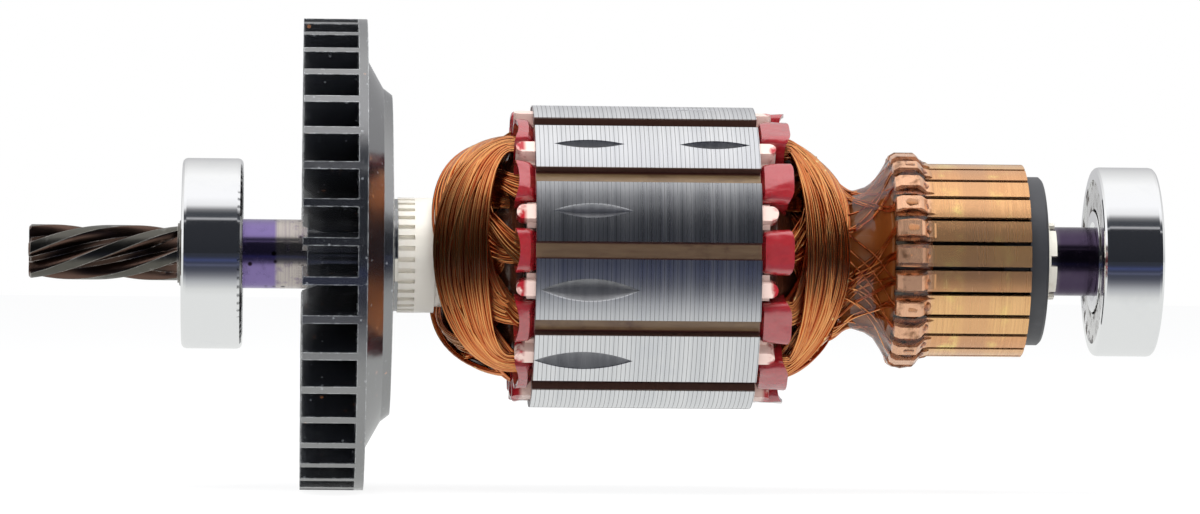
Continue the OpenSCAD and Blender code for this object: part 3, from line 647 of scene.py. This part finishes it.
dress(bar_finish(), *[f"commutator_bar_{i:02d}" for i in range(1, bar_count + 1)])
dress(moulding_finish(), "commutator_hub")
print("commutator dressed")

# %% [markdown]
# ## Surfaces from arrays
# Every new piece is one or more grids of points, worked out as whole arrays. This helper turns
# grids of the shape (pieces, rows, columns, 3) into one mesh. Columns always close on themselves.
# Rows close too, or end in flat caps. A closed grid's signed volume says whether its faces look
# outwards, and they are turned if they don't.

# %% Grid helper
def grid_faces(count, rows, columns, close_rows):
    """Corner numbers of all quads of count grids, each rows by columns."""
    r0 = np.arange(rows if close_rows else rows - 1)[None, :, None]
    c0 = np.arange(columns)[None, None, :]
    base = np.arange(count)[:, None, None] * rows * columns
    r1, c1 = (r0 + 1) % rows, (c0 + 1) % columns
    corners = [base + a * columns + b for a, b in ((r0, c0), (r0, c1), (r1, c1), (r1, c0))]
    return np.stack(corners, axis=-1).reshape(-1, 4)


def cap_faces(count, rows, columns):
    """Corner numbers of the two end caps of each grid."""
    ring = np.arange(columns)
    base = np.arange(count)[:, None] * rows * columns
    return np.concatenate([base + ring[::-1], base + (rows - 1) * columns + ring])


def looks_inwards(points, quads):
    """Whether the signed volume under the quads is negative. Each adds two triangles' share."""
    a, b, c, d = (points[quads[:, i]] for i in range(4))
    volume = (np.cross(a, b) * c).sum() + (np.cross(a, c) * d).sum()
    return volume < 0


def surface(name, parts, materials, values=None, crease=None):
    """One object from several grids: parts is a list of (points, close_rows, material number).
    values is one number per vertex, kept as the attribute strand. Edges over crease degrees stay
    sharp."""
    points, faces, numbers, start = [], [], [], 0
    for grid, close_rows, number in parts:
        count, rows, columns = grid.shape[:3]
        flat = grid.reshape(-1, 3)
        quads = grid_faces(count, rows, columns, close_rows)
        caps = [] if close_rows else cap_faces(count, rows, columns)
        if looks_inwards(flat, quads):
            quads = quads[:, ::-1]
            caps = [cap[::-1] for cap in caps]
        points.append(flat)
        faces += (quads + start).tolist() + [(cap + start).tolist() for cap in caps]
        numbers.append(np.full(len(quads) + len(caps), number, dtype=np.int32))
        start += len(flat)
    mesh = bpy.data.meshes.new(name)
    mesh.from_pydata(np.concatenate(points) * MM, [], faces)
    mesh.polygons.foreach_set("use_smooth", np.ones(len(faces), dtype=bool))
    mesh.polygons.foreach_set("material_index", np.concatenate(numbers))
    if values is not None:
        mesh.attributes.new("strand", "FLOAT", "POINT").data.foreach_set("value", values.astype(np.float32))
    for material in materials:
        mesh.materials.append(material)
    if crease:
        mesh.set_sharp_from_angle(angle=math.radians(crease))
    mesh.update()
    piece = bpy.data.objects.new(name, mesh)
    bpy.context.scene.collection.objects.link(piece)
    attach(piece, "rotor")
    return piece


def tubes(path, side_way, wire_r, sides, closed):
    """Round wires along paths of the shape (wires, rings, 3). Each ring stands square to its path,
    with its first corner towards side_way, an array of the same shape."""
    if closed:
        along = np.roll(path, -1, axis=1) - np.roll(path, 1, axis=1)
    else:
        along = np.gradient(path, axis=1)
    along /= np.linalg.norm(along, axis=-1, keepdims=True)
    out = side_way - (side_way * along).sum(-1, keepdims=True) * along
    out /= np.linalg.norm(out, axis=-1, keepdims=True)
    across = np.cross(along, out)
    angle = np.arange(sides) * 2 * np.pi / sides
    ring = np.cos(angle)[:, None] * out[:, :, None, :] + np.sin(angle)[:, None] * across[:, :, None, :]
    return path[:, :, None, :] + wire_r * ring


def lerp(a, b, t):
    return a + (b - a) * t


def smooth(t):
    c = np.clip(t, 0, 1)
    return c * c * (3 - 2 * c)


def polar(x, r, degrees):
    """Points at angle 0 towards -Y, growing towards -Z, at radius r round the axis."""
    a = np.radians(degrees)
    return np.stack(np.broadcast_arrays(x, -r * np.cos(a), -r * np.sin(a)), axis=-1)


def ripples(random, x, degrees, waves, coarse, fine):
    """Smooth noise of about -1 to 1 over (x, angle): sines of random direction. Their whole numbers
    of waves per turn, from coarse to fine, close them round the axis."""
    total = 0
    for beat, pull, phase in zip(random.integers(coarse, fine + 1, waves),
                                 random.uniform(-1.5, 1.5, waves), random.uniform(0, 6.28, waves)):
        total = total + np.sin(beat * np.radians(degrees) + pull * x + phase)
    return total / math.sqrt(waves)

# %% [markdown]
# ## Shaft
# One bar of hardened steel, but not one colour. The pinion is dark in its grooves, darker still
# towards their roots, and bright on its edges, partly from wear and partly as a painted highlight.
# Between the bearing and the fan, heat has tinted the steel violet, and scuffs mark where the fan
# was pressed on. The imported shaft has the right sizes, and its helical teeth are made of flat
# facets. Here the same shape is one smooth grid: rows run round the shaft and turn with the helix,
# so that the edges of the teeth stay crisp.

# %% Shape of the shaft
teeth, tip_r, root_r, lead, phase_x, tooth_phase = 5, 3.175, 1.95, 47.0, -11.3, -10.0
neck_x = journal_x - 0.5
run_out_len, run_out_r, tail_r, chamfer = 3.6, 2.625, 3.55, 0.4
neck_r, shoulder_r, shoulder_len = 3.45, 3.7, 0.3
tooth_share = np.array([-0.5, -0.45, -0.40, -0.36, -0.33, -0.29, -0.25, -0.2, -0.17, -0.15, -0.14, -0.07,
                        0.0, 0.07, 0.14, 0.15, 0.17, 0.2, 0.25, 0.29, 0.33, 0.36, 0.40, 0.45])


def tooth_height(share):
    """Height of the pinion over its roots, 0 to 1, at a share of the tooth pitch off a tooth's middle:
    a flat land, a steep flank and a round root."""
    return np.interp(np.abs(share), [0, 0.15, 0.2, 0.29, 0.36, 0.5], [1, 0.99, 0.85, 0.35, 0.04, 0])


def shaft_piece(material):
    """Radius over (x, angle): helical teeth up to the neck, then plain turned steps."""
    share = np.tile(tooth_share, teeth)
    tooth_deg = np.repeat(np.arange(teeth), len(tooth_share)) * 360 / teeth + share * 360 / teeth
    cut_x = np.concatenate([[pinion_x, pinion_x + 0.25], np.linspace(pinion_x + 0.6, neck_x, 52)])
    plain = np.array([  # the turned part: (x, radius)
        (neck_x, neck_r), (journal_x - shoulder_len, neck_r),
        (journal_x - shoulder_len, shoulder_r), (journal_x, shaft_r),
        (20, shaft_r), (40, shaft_r), (60, shaft_r), (80, shaft_r), (100, shaft_r),
        (rear_end_x, shaft_r), (rear_end_x, tail_r), (shaft_end_x - chamfer, tail_r),
        (shaft_end_x, tail_r - chamfer), (shaft_end_x, 1.2), (shaft_end_x, 0.4)])
    rise = np.clip((cut_x - neck_x + run_out_len) / run_out_len, 0, 1)
    floor = lerp(root_r, run_out_r, rise)[:, None]
    cut_r = np.maximum(root_r + (tip_r - root_r) * tooth_height(share)[None], floor)
    cut_r[0] -= 0.25
    first = np.full((1, len(share)), 0.4)
    x = np.concatenate([[pinion_x], cut_x, plain[:, 0]])
    r = np.concatenate([first, cut_r, np.repeat(plain[:, 1:], len(share), axis=1)])
    helix = tooth_phase + (phase_x - np.minimum(x, neck_x)) * 360 / lead
    grid = polar(x[:, None], r, helix[:, None] + tooth_deg[None])
    piece = surface("turned_shaft", [(grid[None], False, 0)], [material], crease=28)
    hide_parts("shaft")
    return piece

# %% Finish of the shaft
tint_x = 7.3


def shaft_finish():
    """Pinion darker towards its groove roots, its edges painted bright as wear and as a highlight, violet
    heat tint, scuffed beige steel, plain steel, and a dark violet tail.
    """
    add, effect, close = finish_of("shaft_steel")
    x, _, length = around_axis(add)
    grain = effect(turned_grain, Pitch=0.00016, Seed=7.0)
    scuff = effect(blotches, Size=0.0013, Cover=0.5, Edge=0.2, Seed=8.0)
    cloud = effect(blotches, Size=0.004, Cover=0.5, Edge=0.5, Seed=9.0)
    speck = effect(specks, Size=0.0010, Cover=0.42, Seed=10.0)
    worn = effect(blotches, Size=0.0016, Cover=0.38, Edge=0.2, Seed=11.0)
    edge = effect(edge_wear_and_glint, Width=0.00016, Amount=1.0, Seed=5.0)

    def past(place, soft):
        """1 where X is past a place in millimetres."""
        return between(add, x, (place - soft) * MM, (place + soft) * MM)

    steel = blend_colours(add, grain, (0.45, 0.43, 0.43), (0.64, 0.62, 0.61))
    violet = blend_colours(add, cloud, (0.24, 0.18, 0.40), (0.46, 0.40, 0.54))
    beige = blend_colours(add, scuff, (0.56, 0.51, 0.46), (0.36, 0.30, 0.38))
    beige = blend_colours(add, calc(add, "MULTIPLY", grain, 0.5), beige, (0.30, 0.25, 0.30))
    tail = blend_colours(add, cloud, (0.07, 0.05, 0.09), (0.12, 0.10, 0.14))
    colour = blend_colours(add, past(tint_x, 0.25), violet, beige)
    colour = blend_colours(add, speck, colour, (0.025, 0.015, 0.025))
    colour = blend_colours(add, past(fan_x + 0.6, 0.5), colour, steel)
    colour = blend_colours(add, past(rear_x - 5, 1.0), colour, tail)
    colour = blend_colours(add, past(rear_end_x - 0.2, 0.2), colour, (0.24, 0.23, 0.24))
    # the flanks darken towards the roots of the teeth
    up_flank = between(add, length, 2.2 * MM, 2.8 * MM)
    flank = blend_colours(add, up_flank, (0.055, 0.034, 0.026), (0.14, 0.085, 0.066))
    land = blend_colours(add, worn, (0.12, 0.115, 0.10), (0.24, 0.23, 0.215))
    pinion = blend_colours(add, between(add, length, 3.05 * MM, 3.14 * MM), flank, land)
    # painted highlight: the edges of the teeth are painted bright, partly as wear and partly as the
    # highlight that edges catch
    pinion = blend_colours(add, edge, pinion, (0.72, 0.68, 0.64))
    on_pinion = between(add, x, (journal_x + 0.1) * MM, (journal_x - 0.1) * MM)
    colour = blend_colours(add, on_pinion, colour, pinion)
    rough = calc(add, "ADD", scale_value(add, scuff, 0.16, 0.32), calc(add, "MULTIPLY", on_pinion, 0.12))
    height = add("Mix", {0: 0.5, 2: grain, 3: scuff}, data_type="FLOAT").outputs[0]
    return close(Base_Color=colour, Metallic=1.0, Roughness=rough, Normal=bump(add, height, 0.35, 0.00002))


shaft = shaft_piece(shaft_finish())
print("shaft:", len(shaft.data.polygons), "faces")

# %% [markdown]
# ## Slot liners
# Each slot is lined with folded paper that stands out at both ends of the core. Inside the core it
# follows the slot. Outside, the paper springs open a little, its lip thickens with varnish, and
# the coil pushes it out in the middle. The section is a rounded square: in polar form its radius is
# (|cos|^m + |sin|^m)^(-1/m), stretched to the slot's height and width. The grid runs along the
# outer face and back along the inner one, so each liner is a closed shell.

# %% Slot liners
tooth_w, slot_gap, liner_t, slot_floor_r, tip_t, wedge_t = 3.2, 0.06, 0.25, 9.2, 1.1, 0.5
wedge_r = core_r - tip_t - slot_gap - wedge_t
liner_top_r = wedge_r - slot_gap
liner_floor_r = slot_floor_r + slot_gap


def slot_half(r, inset):
    """Half the width of a slot at radius r, less an inset: its flanks run parallel to the teeth."""
    half_pitch = math.radians(slot_pitch / 2)
    return r * math.tan(half_pitch) - (tooth_w / 2 + inset) / math.cos(half_pitch)


def liner_face(random, angle, wall, lip_drive, lip_comm):
    """One face of a liner as a grid (angle, along). wall is how far it lies inside the outer face."""
    form = (np.abs(np.cos(angle)) ** 7 + np.abs(np.sin(angle)) ** 7) ** (-1 / 7)
    p, q = (form * np.cos(angle))[:, None], (form * np.sin(angle))[:, None]
    out_steps = np.array([1.0, 0.97, 0.85, 0.6, 0.35, 0.12, 0.02])
    inside = np.array([0.0, 0.5, 1.0])
    outward = smooth(p)
    drive = core_x - out_steps * (lip_drive - 0.55 * outward * (1 - q ** 2))
    comm = core_end_x + out_steps[::-1] * (lip_comm - 0.7 * np.abs(q) ** 5)
    middle = np.broadcast_to(lerp(core_x + 0.1, core_end_x - 0.1, inside), (len(angle), 3))
    x = np.concatenate([drive, middle, comm], axis=1)
    off_core = np.maximum(core_x - x, x - core_end_x)
    open_up = smooth((off_core - 0.05) / 0.5)
    open_out = smooth((off_core - 0.9) / 0.9)
    top = lerp(liner_top_r, liner_top_r + 0.95, open_up)
    lip = wall + 0.12 * open_out * np.sign(wall)
    r = lerp(liner_floor_r + lip, top - lip, (p + 1) / 2)
    half = slot_half(np.clip(r, liner_floor_r, liner_top_r + 0.35 * open_up), slot_gap)
    half = half + 0.16 * open_out - lip
    wave = ripples(random, x, np.degrees(angle)[:, None], 4, 2, 5) * open_out
    return x, r + 0.10 * wave * outward, q * half * (1 + 0.03 * wave)


def liner_pieces():
    """Twelve liners in one piece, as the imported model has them."""
    angle = np.arange(44) * 2 * np.pi / 44
    grids = []
    for i in range(slots):
        random = np.random.default_rng(40 + i)
        lips = 2.3 + random.uniform(-0.2, 0.15), 3.75 + random.uniform(-0.15, 0.1)
        outer = liner_face(np.random.default_rng(60 + i), angle, 0.0, *lips)
        inner = liner_face(np.random.default_rng(60 + i), angle, liner_t, *lips)
        x, r, w = (np.concatenate([o, n[:, ::-1]], axis=1) for o, n in zip(outer, inner))
        turn = first_slot + i * slot_pitch + np.degrees(np.arctan2(w, r))
        grids.append(polar(x, np.hypot(r, w), turn))
    piece = surface("slot_liner", [(np.stack(grids), True, 0)], [liner_varnish], crease=50)
    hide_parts("slot_liners")
    return piece


liners = liner_pieces()
print("liners:", len(liners.data.polygons), "faces")

# %% [markdown]
# ## Winding
# Twelve coils of enamelled copper wire. In the slots each coil is a block. Past the slots it
# fans out and runs round the winding head on its own shell, so that coils cross without meeting:
# the coil that was wound last lies outside. The solid coils of the model follow the same rule,
# and this formula repeats it, so that the wires lie in or just under the space of the solids.

# %% Shape of a coil
head_drive, head_comm, head_r, eye_r = 12.4, 11.8, 14.8, 6.2
leg_drive, leg_comm, fall_drive, fall_comm = 2.7, 3.8, 1.2, 1.5
coil_span, coil_gap, shells = 4, 0.2, 6
inner_reach, crown, leg_spread = 3.3, 1.16, 7.0
eye_deg, top_eye_deg, low_belt_deg, top_belt_deg = 80.0, 56.0, 38.0, 19.0
coil_inset = slot_gap + liner_t + 0.12
floor_r = slot_floor_r + coil_inset
top_r = liner_top_r - liner_t - 0.12
mid_r = (floor_r + top_r) / 2


def coil_order(k):
    """When coil k was wound, 0 first."""
    return (k + shells - 1) % shells


def coil_point(k, side, out, tau, a, b):
    """A point of coil k at one end of the core. out is how far the leg has left its slot, tau the way
    round the head from 0 to 180 degrees, a the place across the coil and b through it, -1 to 1."""
    partner = np.where(tau < 90, k + slots - coil_span, k + coil_span)
    on_top = coil_order(k) > coil_order(partner)
    share = (coil_order(k) + 0.5 + 0.5 * b) / shells
    level = coil_order(k) / (shells - 1)
    leg, head, fall = (leg_drive, head_drive, fall_drive) if side < 0 else (leg_comm, head_comm, fall_comm)
    reach = lerp(inner_reach, (head - leg) * crown, share)
    rise = lerp(floor_r - eye_r, head_r - eye_r, share)
    inset = b * coil_gap / 2
    belt = lerp(low_belt_deg, top_belt_deg, level)
    eye = lerp(eye_deg, top_eye_deg, level ** 3)
    sweep = np.sin(np.radians(tau))
    u = np.radians(lerp(belt, eye, (a + 1) / 2) * sweep)
    leg_r = np.where(on_top, lerp(mid_r + coil_gap / 2, top_r, (b + 1) / 2),
                     lerp(floor_r, mid_r - coil_gap / 2, (b + 1) / 2))
    r = lerp(leg_r, eye_r + (rise - inset) * np.cos(u) ** fall, smooth(out))
    z = lerp(0.1, 1, out) * leg + (reach - inset) * np.maximum(np.sin(u), 0) ** fall
    slot_deg = np.degrees(np.arctan(slot_half(np.maximum(r, floor_r), coil_inset) / r))
    half_deg = lerp(slot_deg, leg_spread, smooth(sweep * 2))
    half_span = coil_span * slot_pitch / 2
    angle = first_slot + k * slot_pitch + half_span - (half_span + a * half_deg) * np.cos(np.radians(tau))
    return polar(core_x - z if side < 0 else core_end_x + z, r, angle)

# %% [markdown]
# ### Wires of a coil
# A machine lays wire quickly, so the turns don't lie side by side like thread on a spool. Each
# wire keeps roughly to its place and wanders a little, and the last few turns cross the others.
# A sum of slow sine waves with seeded phases gives each wire its own calm wander. Under the wires
# lies a dark body, the part of the bundle that light doesn't reach.

# %% Wires of the twelve coils
wire_r, lead_wire_r, wire_sides = 0.155, 0.14, 6
head_steps = 38
leg_out = np.array([0.0, 0.3, 0.6, 0.85])


def winding_path():
    """(out, tau) along one winding head, from slot to slot."""
    tau = np.linspace(0, 180, head_steps)
    out = np.concatenate([leg_out, np.ones(head_steps), leg_out[::-1]])
    way = np.concatenate([np.zeros(len(leg_out)), tau, np.full(len(leg_out), 180.0)])
    return out, way


def both_ends(k, a, b):
    """Points of one turn of coil k at both ends of the core, for arrays a and b over the rings."""
    out, tau = winding_path()
    half = len(out)
    near = coil_point(k, -1, out, tau, a[..., :half], b[..., :half])
    far = coil_point(k, 1, out[::-1], tau[::-1], a[..., half:], b[..., half:])
    return np.concatenate([near, far], axis=-2)


def wander(random, wires, rings, fastest):
    """Smooth noise in about -1 to 1 along closed paths: three sine waves with random phases."""
    t = np.arange(rings) / rings * 2 * np.pi
    size = random.normal(0, 0.6, (wires, 3))
    beat = random.integers(1, fastest + 1, (wires, 3))
    phase = random.uniform(0, 2 * np.pi, (wires, 3))
    return (size[..., None] * np.sin(beat[..., None] * t + phase[..., None])).sum(axis=1)


def coil_wires(k):
    """One coil: a dark body of painted shade, two calm layers of wires, and a few smooth turns that cross
    them.
    """
    random = np.random.default_rng(100 + k)
    out = winding_path()[0]
    rings = 2 * len(out)
    calm = smooth(np.concatenate([out, out[::-1]]))
    top, second, crossing = 25, 19, 6
    a0 = np.concatenate([np.linspace(-0.98, 0.98, top), np.linspace(-0.94, 0.94, second),
                         random.uniform(-0.85, 0.85, crossing)])
    b0 = np.concatenate([np.tile([0.62, 0.42], top)[:top], np.full(second, 0.08), np.full(crossing, 0.84)])
    swing = np.concatenate([np.full(top, 0.030), np.full(second, 0.04),
                            random.uniform(0.10, 0.24, crossing)])
    a = a0[:, None] + swing[:, None] * calm * wander(random, len(a0), rings, 5)
    b = b0[:, None] + 0.10 * calm * wander(random, len(a0), rings, 7)
    a, b = np.clip(a, -1, 1), np.clip(b, -0.8, 0.9)
    path = both_ends(k, a, b)
    outward = both_ends(k, a, b + 0.1) - both_ends(k, a, b - 0.1)
    wires = tubes(path, outward, wire_r, wire_sides, True)

    # the body: a painted shade under the wires, seen through the gaps between them
    corner = np.arange(16) * 2 * np.pi / 16
    body_a, body_b = 0.95 * np.cos(corner), 0.5 * np.sin(corner) - 0.25
    columns = [both_ends(k, np.full(rings, p), np.full(rings, q)) for p, q in zip(body_a, body_b)]
    body = np.stack(columns, axis=1)[None]
    number = np.repeat(random.uniform(0, 1, len(a0)), rings * wire_sides)
    values = np.concatenate([number, np.zeros(body.shape[1] * body.shape[2])])
    piece = surface(f"winding_{k + 1:02d}", [(wires, True, 0), (body, True, 1)],
                    [wire_enamel, wire_shade], values)
    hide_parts(f"coil_{k + 1:02d}")
    return piece


def enamel_finish():
    """Enamelled copper: each wire has its own tone, varnish darkens it in patches, and a few gold
    specks lie on it."""
    add, effect, close = finish_of("wire_enamel")
    strand = add("Attribute", attribute_name="strand").outputs["Fac"]
    cloud = effect(blotches, Size=0.0036, Cover=0.42, Edge=0.35, Seed=31.0)
    gold = effect(specks, Size=0.0008, Cover=0.12, Seed=33.0)
    colour = blend_colours(add, strand, (0.60, 0.13, 0.03), (0.96, 0.44, 0.15))
    colour = blend_colours(add, cloud, colour, (0.46, 0.070, 0.016))
    colour = blend_colours(add, gold, colour, (0.98, 0.66, 0.28))
    return close(Base_Color=colour, Metallic=1.0, Roughness=0.2, Coat_Weight=0.35, Coat_Roughness=0.05)


def shade_finish():
    """The inside of a bundle, painted dark as the shade between the wires that light doesn't reach."""
    add, effect, close = finish_of("wire_shade")
    cloud = effect(blotches, Size=0.002, Cover=0.5, Edge=0.4, Seed=32.0)
    colour = blend_colours(add, cloud, (0.085, 0.020, 0.009), (0.022, 0.007, 0.004))
    return close(Base_Color=colour, Roughness=0.25, Coat_Weight=0.5, Coat_Roughness=0.1)


wire_enamel, wire_shade = enamel_finish(), shade_finish()
coils = [coil_wires(k) for k in range(slots)]
print("coils:", len(coils), "faces:", sum(len(c.data.polygons) for c in coils))

# %% [markdown]
# ### Legs of the coils
# Close to the core the wires leave each liner in a flat fan, and lean over towards the head that
# they climb. They fill the wedge-shaped gaps that the coils leave between them.

# %% Leg wires
def leg_wires(name, side, lean_deg):
    """A fan of wires from each slot: in (distance from the core, radius, angle) each runs from inside
    the liner outwards, sinking to the head and leaning over by lean_deg."""
    random = np.random.default_rng(50 + side)
    rings, each = 16, 18
    count = slots * each
    t = np.linspace(0, 1, rings)[None]
    place = np.tile(np.linspace(-1, 1, each), slots)[:, None]
    slot = np.repeat(np.arange(slots), each)[:, None]
    leg, head = (leg_drive, head_drive) if side < 0 else (leg_comm, head_comm)
    z = lerp(1.2, head * 0.62, t ** 1.15) + 0.25 * place * t
    r = lerp(14.7, 11.3, smooth(t * 1.05)) + 0.45 * t + random.uniform(-0.35, 0.1, (count, 1))
    lean = lean_deg * smooth((z - leg + 1.4) / (head * 0.62 - leg + 1.4))
    spread = lerp(6.4, 4.6, t) * place
    angle = first_slot + slot * slot_pitch + spread + lean + 0.8 * wander(random, count, rings, 2) * t
    path = polar(core_x - z if side < 0 else core_end_x + z, r, angle)
    grid = tubes(path, path * np.array([0, 1, 1]), wire_r, wire_sides, False)
    values = np.repeat(random.uniform(0, 1, count), rings * wire_sides)
    piece = surface(name, [(grid, False, 0)], [wire_enamel], values)
    return piece


legs = [leg_wires("legs_drive", -1, -26.0), leg_wires("legs_comm", 1, -26.0)]
print("leg wires:", sum(len(p.data.polygons) for p in legs), "faces")

# %% [markdown]
# ## Varnish
# The finished winding is dipped in varnish, which soaks the coils and pools between the slot
# liners, where it hides the end of the core. It is a lumpy ring round the axis at each end. Its
# profile is a few points in (distance from the core, radius), and sines over the surface lump it.

# %% Varnish beds
bed_profile = np.array([(1.05, 8.0), (1.05, 11.5), (1.1, 13.6), (1.6, 13.9), (2.3, 13.3), (2.9, 12.1),
                        (3.6, 10.9), (4.4, 9.8), (5.2, 8.7), (5.9, 7.4), (6.0, 6.35), (3.5, 6.3)])


def varnish_bed(name, side, material):
    """A closed ring: the profile carried round the axis, lumped outside and plain in its bore."""
    random = np.random.default_rng(70 if side < 0 else 71)
    degrees = np.arange(180) * 2.0
    z, r = bed_profile[:, :1], bed_profile[:, 1:]
    lump = ripples(random, z, degrees[None], 7, 5, 31) * smooth((r - 7.5) / 2) * smooth((z - 1.05) / 0.3)
    x = core_x - z if side < 0 else core_end_x + z
    grid = polar(np.broadcast_to(x, lump.shape), r + 0.22 * lump, degrees[None])
    piece = surface(name, [(grid[None], True, 0)], [material])
    return piece


def varnish_finish():
    """Dark brown varnish, glossy as glass."""
    add, effect, close = finish_of("pooled_varnish")
    cloud = effect(blotches, Size=0.0018, Cover=0.5, Edge=0.4, Seed=35.0)
    colour = blend_colours(add, cloud, (0.050, 0.014, 0.007), (0.012, 0.004, 0.003))
    return close(Base_Color=colour, Roughness=0.14, IOR=1.6, Normal=bump(add, cloud, 0.3, 0.0002))


pooled_varnish = varnish_finish()
beds = [varnish_bed("varnish_bed_drive", -1, pooled_varnish),
        varnish_bed("varnish_bed_comm", 1, pooled_varnish)]
print("varnish beds:", len(beds))

# %% [markdown]
# ## Leads
# Each coil's two ends run along the waist to the hooks of the commutator, and a thick coat of clear
# resin locks them. Under the wires lies a brown body of resin and paper. The wires climb it with a
# twist of their own, and the clear coat is a shell that bends light, bulged over each hook.

# %% Leads
lead_body = np.array([(72.2, 5.0), (72.2, 6.3), (73.4, 6.9), (74.6, 7.3), (75.8, 7.6), (76.7, 8.3),
                      (77.4, 9.2), (77.9, 10.2), (78.2, 10.9), (78.2, 5.0)])
lead_path = np.array([(71.6, 9.6), (72.6, 8.6), (73.6, 7.75), (74.8, 7.6), (76.0, 8.0), (76.9, 8.9),
                      (77.6, 10.0), (78.2, 11.2), (78.8, 11.7), (79.6, 11.75)])
resin_profile = np.array([(72.7, 7.0), (73.6, 7.9), (74.5, 8.05), (75.6, 8.35), (76.6, 9.0), (77.5, 10.3),
                          (78.2, 11.6), (78.9, 12.2), (79.8, 12.5), (80.7, 12.45), (81.3, 12.1),
                          (82.2, 11.5),
                          (82.5, 11.15), (78.6, 10.9), (77.6, 9.0), (76.5, 7.9), (75.5, 7.2), (74.0, 6.9),
                          (72.9, 6.6)])
# the points above are places (x, radius) with the first bar starting here; they move along with it
lead_zero_x = 78.25
lead_shift = comm_x - lead_zero_x


def lead_core(material):
    """The body under the wires: a profile carried round the axis."""
    random = np.random.default_rng(81)
    degrees = np.arange(144) * 2.5
    x, r = lead_body[:, :1] + lead_shift, lead_body[:, 1:]
    lump = ripples(random, x, degrees[None], 5, 6, 24) * smooth((r - 6.5) / 1)
    grid = polar(np.broadcast_to(x, lump.shape), r + 0.12 * lump, degrees[None])
    piece = surface("lead_core", [(grid[None], True, 0)], [material])
    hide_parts("winding_leads")
    return piece


def lead_wires(material):
    """Four wires to each hook, from the head over the waist. Their angle eases from a random start to
    the hook's own."""
    random = np.random.default_rng(82)
    count = 4 * bar_count
    rings = 26
    step = np.linspace(0, 1, rings)
    at = np.linspace(0, 1, len(lead_path))
    x = np.interp(step, at, lead_path[:, 0]) + lead_shift
    r = np.interp(step, at, lead_path[:, 1])
    r = np.convolve(np.pad(r, 2, mode="edge"), np.ones(5) / 5, mode="valid")
    bar = np.repeat(np.arange(bar_count), 4)
    goal = first_bar + bar * 360 / bar_count + np.tile([-1.8, -0.6, 0.6, 1.8], bar_count)
    twist = random.choice([-1, 1], count) * random.uniform(18, 50, count)
    ease = smooth(step * 1.25)
    degrees = goal[:, None] + twist[:, None] * (1 - ease)[None]
    lift = 0.16 * wander(random, count, rings, 2) * (np.sin(np.pi * step) ** 2)
    radius_at = r[None] + lift + np.tile([0.0, 0.2], 2 * bar_count)[:, None] * np.sin(np.pi * step)
    path = polar(np.broadcast_to(x, radius_at.shape), radius_at, degrees)
    outward = path * np.array([0, 1, 1])
    tube_grid = tubes(path, outward, lead_wire_r, wire_sides, False)
    values = np.repeat(random.uniform(0, 1, count), rings * wire_sides)
    piece = surface("lead_wires", [(tube_grid, False, 0)], [material], values)
    return piece


def lead_resin(material):
    """The clear coat: a closed shell with a lump on each hook and shallow valleys between them."""
    random = np.random.default_rng(83)
    degrees = np.arange(288) * 1.25
    x, r = resin_profile[:, :1] + lead_shift, resin_profile[:, 1:]
    on_hooks = smooth((x - comm_x + 0.6) / 1.4) * (r > 11)
    lump = 0.30 * np.cos(np.radians((degrees[None] - first_bar) * bar_count)) - 0.30
    wave = ripples(random, x, degrees[None], 6, 3, 14) * smooth((r - 7.2) / 0.6)
    grid = polar(np.broadcast_to(x, wave.shape), r + on_hooks * lump + 0.13 * wave, degrees[None])
    piece = surface("lead_resin", [(grid[None], True, 0)], [material])
    return piece


def lead_body_finish():
    """Resin-soaked paper, from amber to dark brown."""
    add, effect, close = finish_of("lead_body")
    cloud = effect(blotches, Size=0.0024, Cover=0.5, Edge=0.5, Seed=25.0)
    colour = blend_colours(add, cloud, (0.55, 0.19, 0.045), (0.20, 0.055, 0.016))
    return close(Base_Color=colour, Roughness=0.3, Coat_Weight=0.5, Coat_Roughness=0.08)


def clear_resin_finish():
    """Clear resin with a faint amber cast."""
    add, _, close = finish_of("clear_resin")
    wave = fine_noise(add, 420.0, 1.0)
    return close(Base_Color=(0.97, 0.80, 0.60, 1), Roughness=0.04, IOR=1.5, Transmission_Weight=1.0,
                 Normal=bump(add, wave, 0.25, 0.0002))


leads = [lead_core(lead_body_finish()), lead_wires(wire_enamel), lead_resin(clear_resin_finish())]
print("leads:", [piece.name for piece in leads])
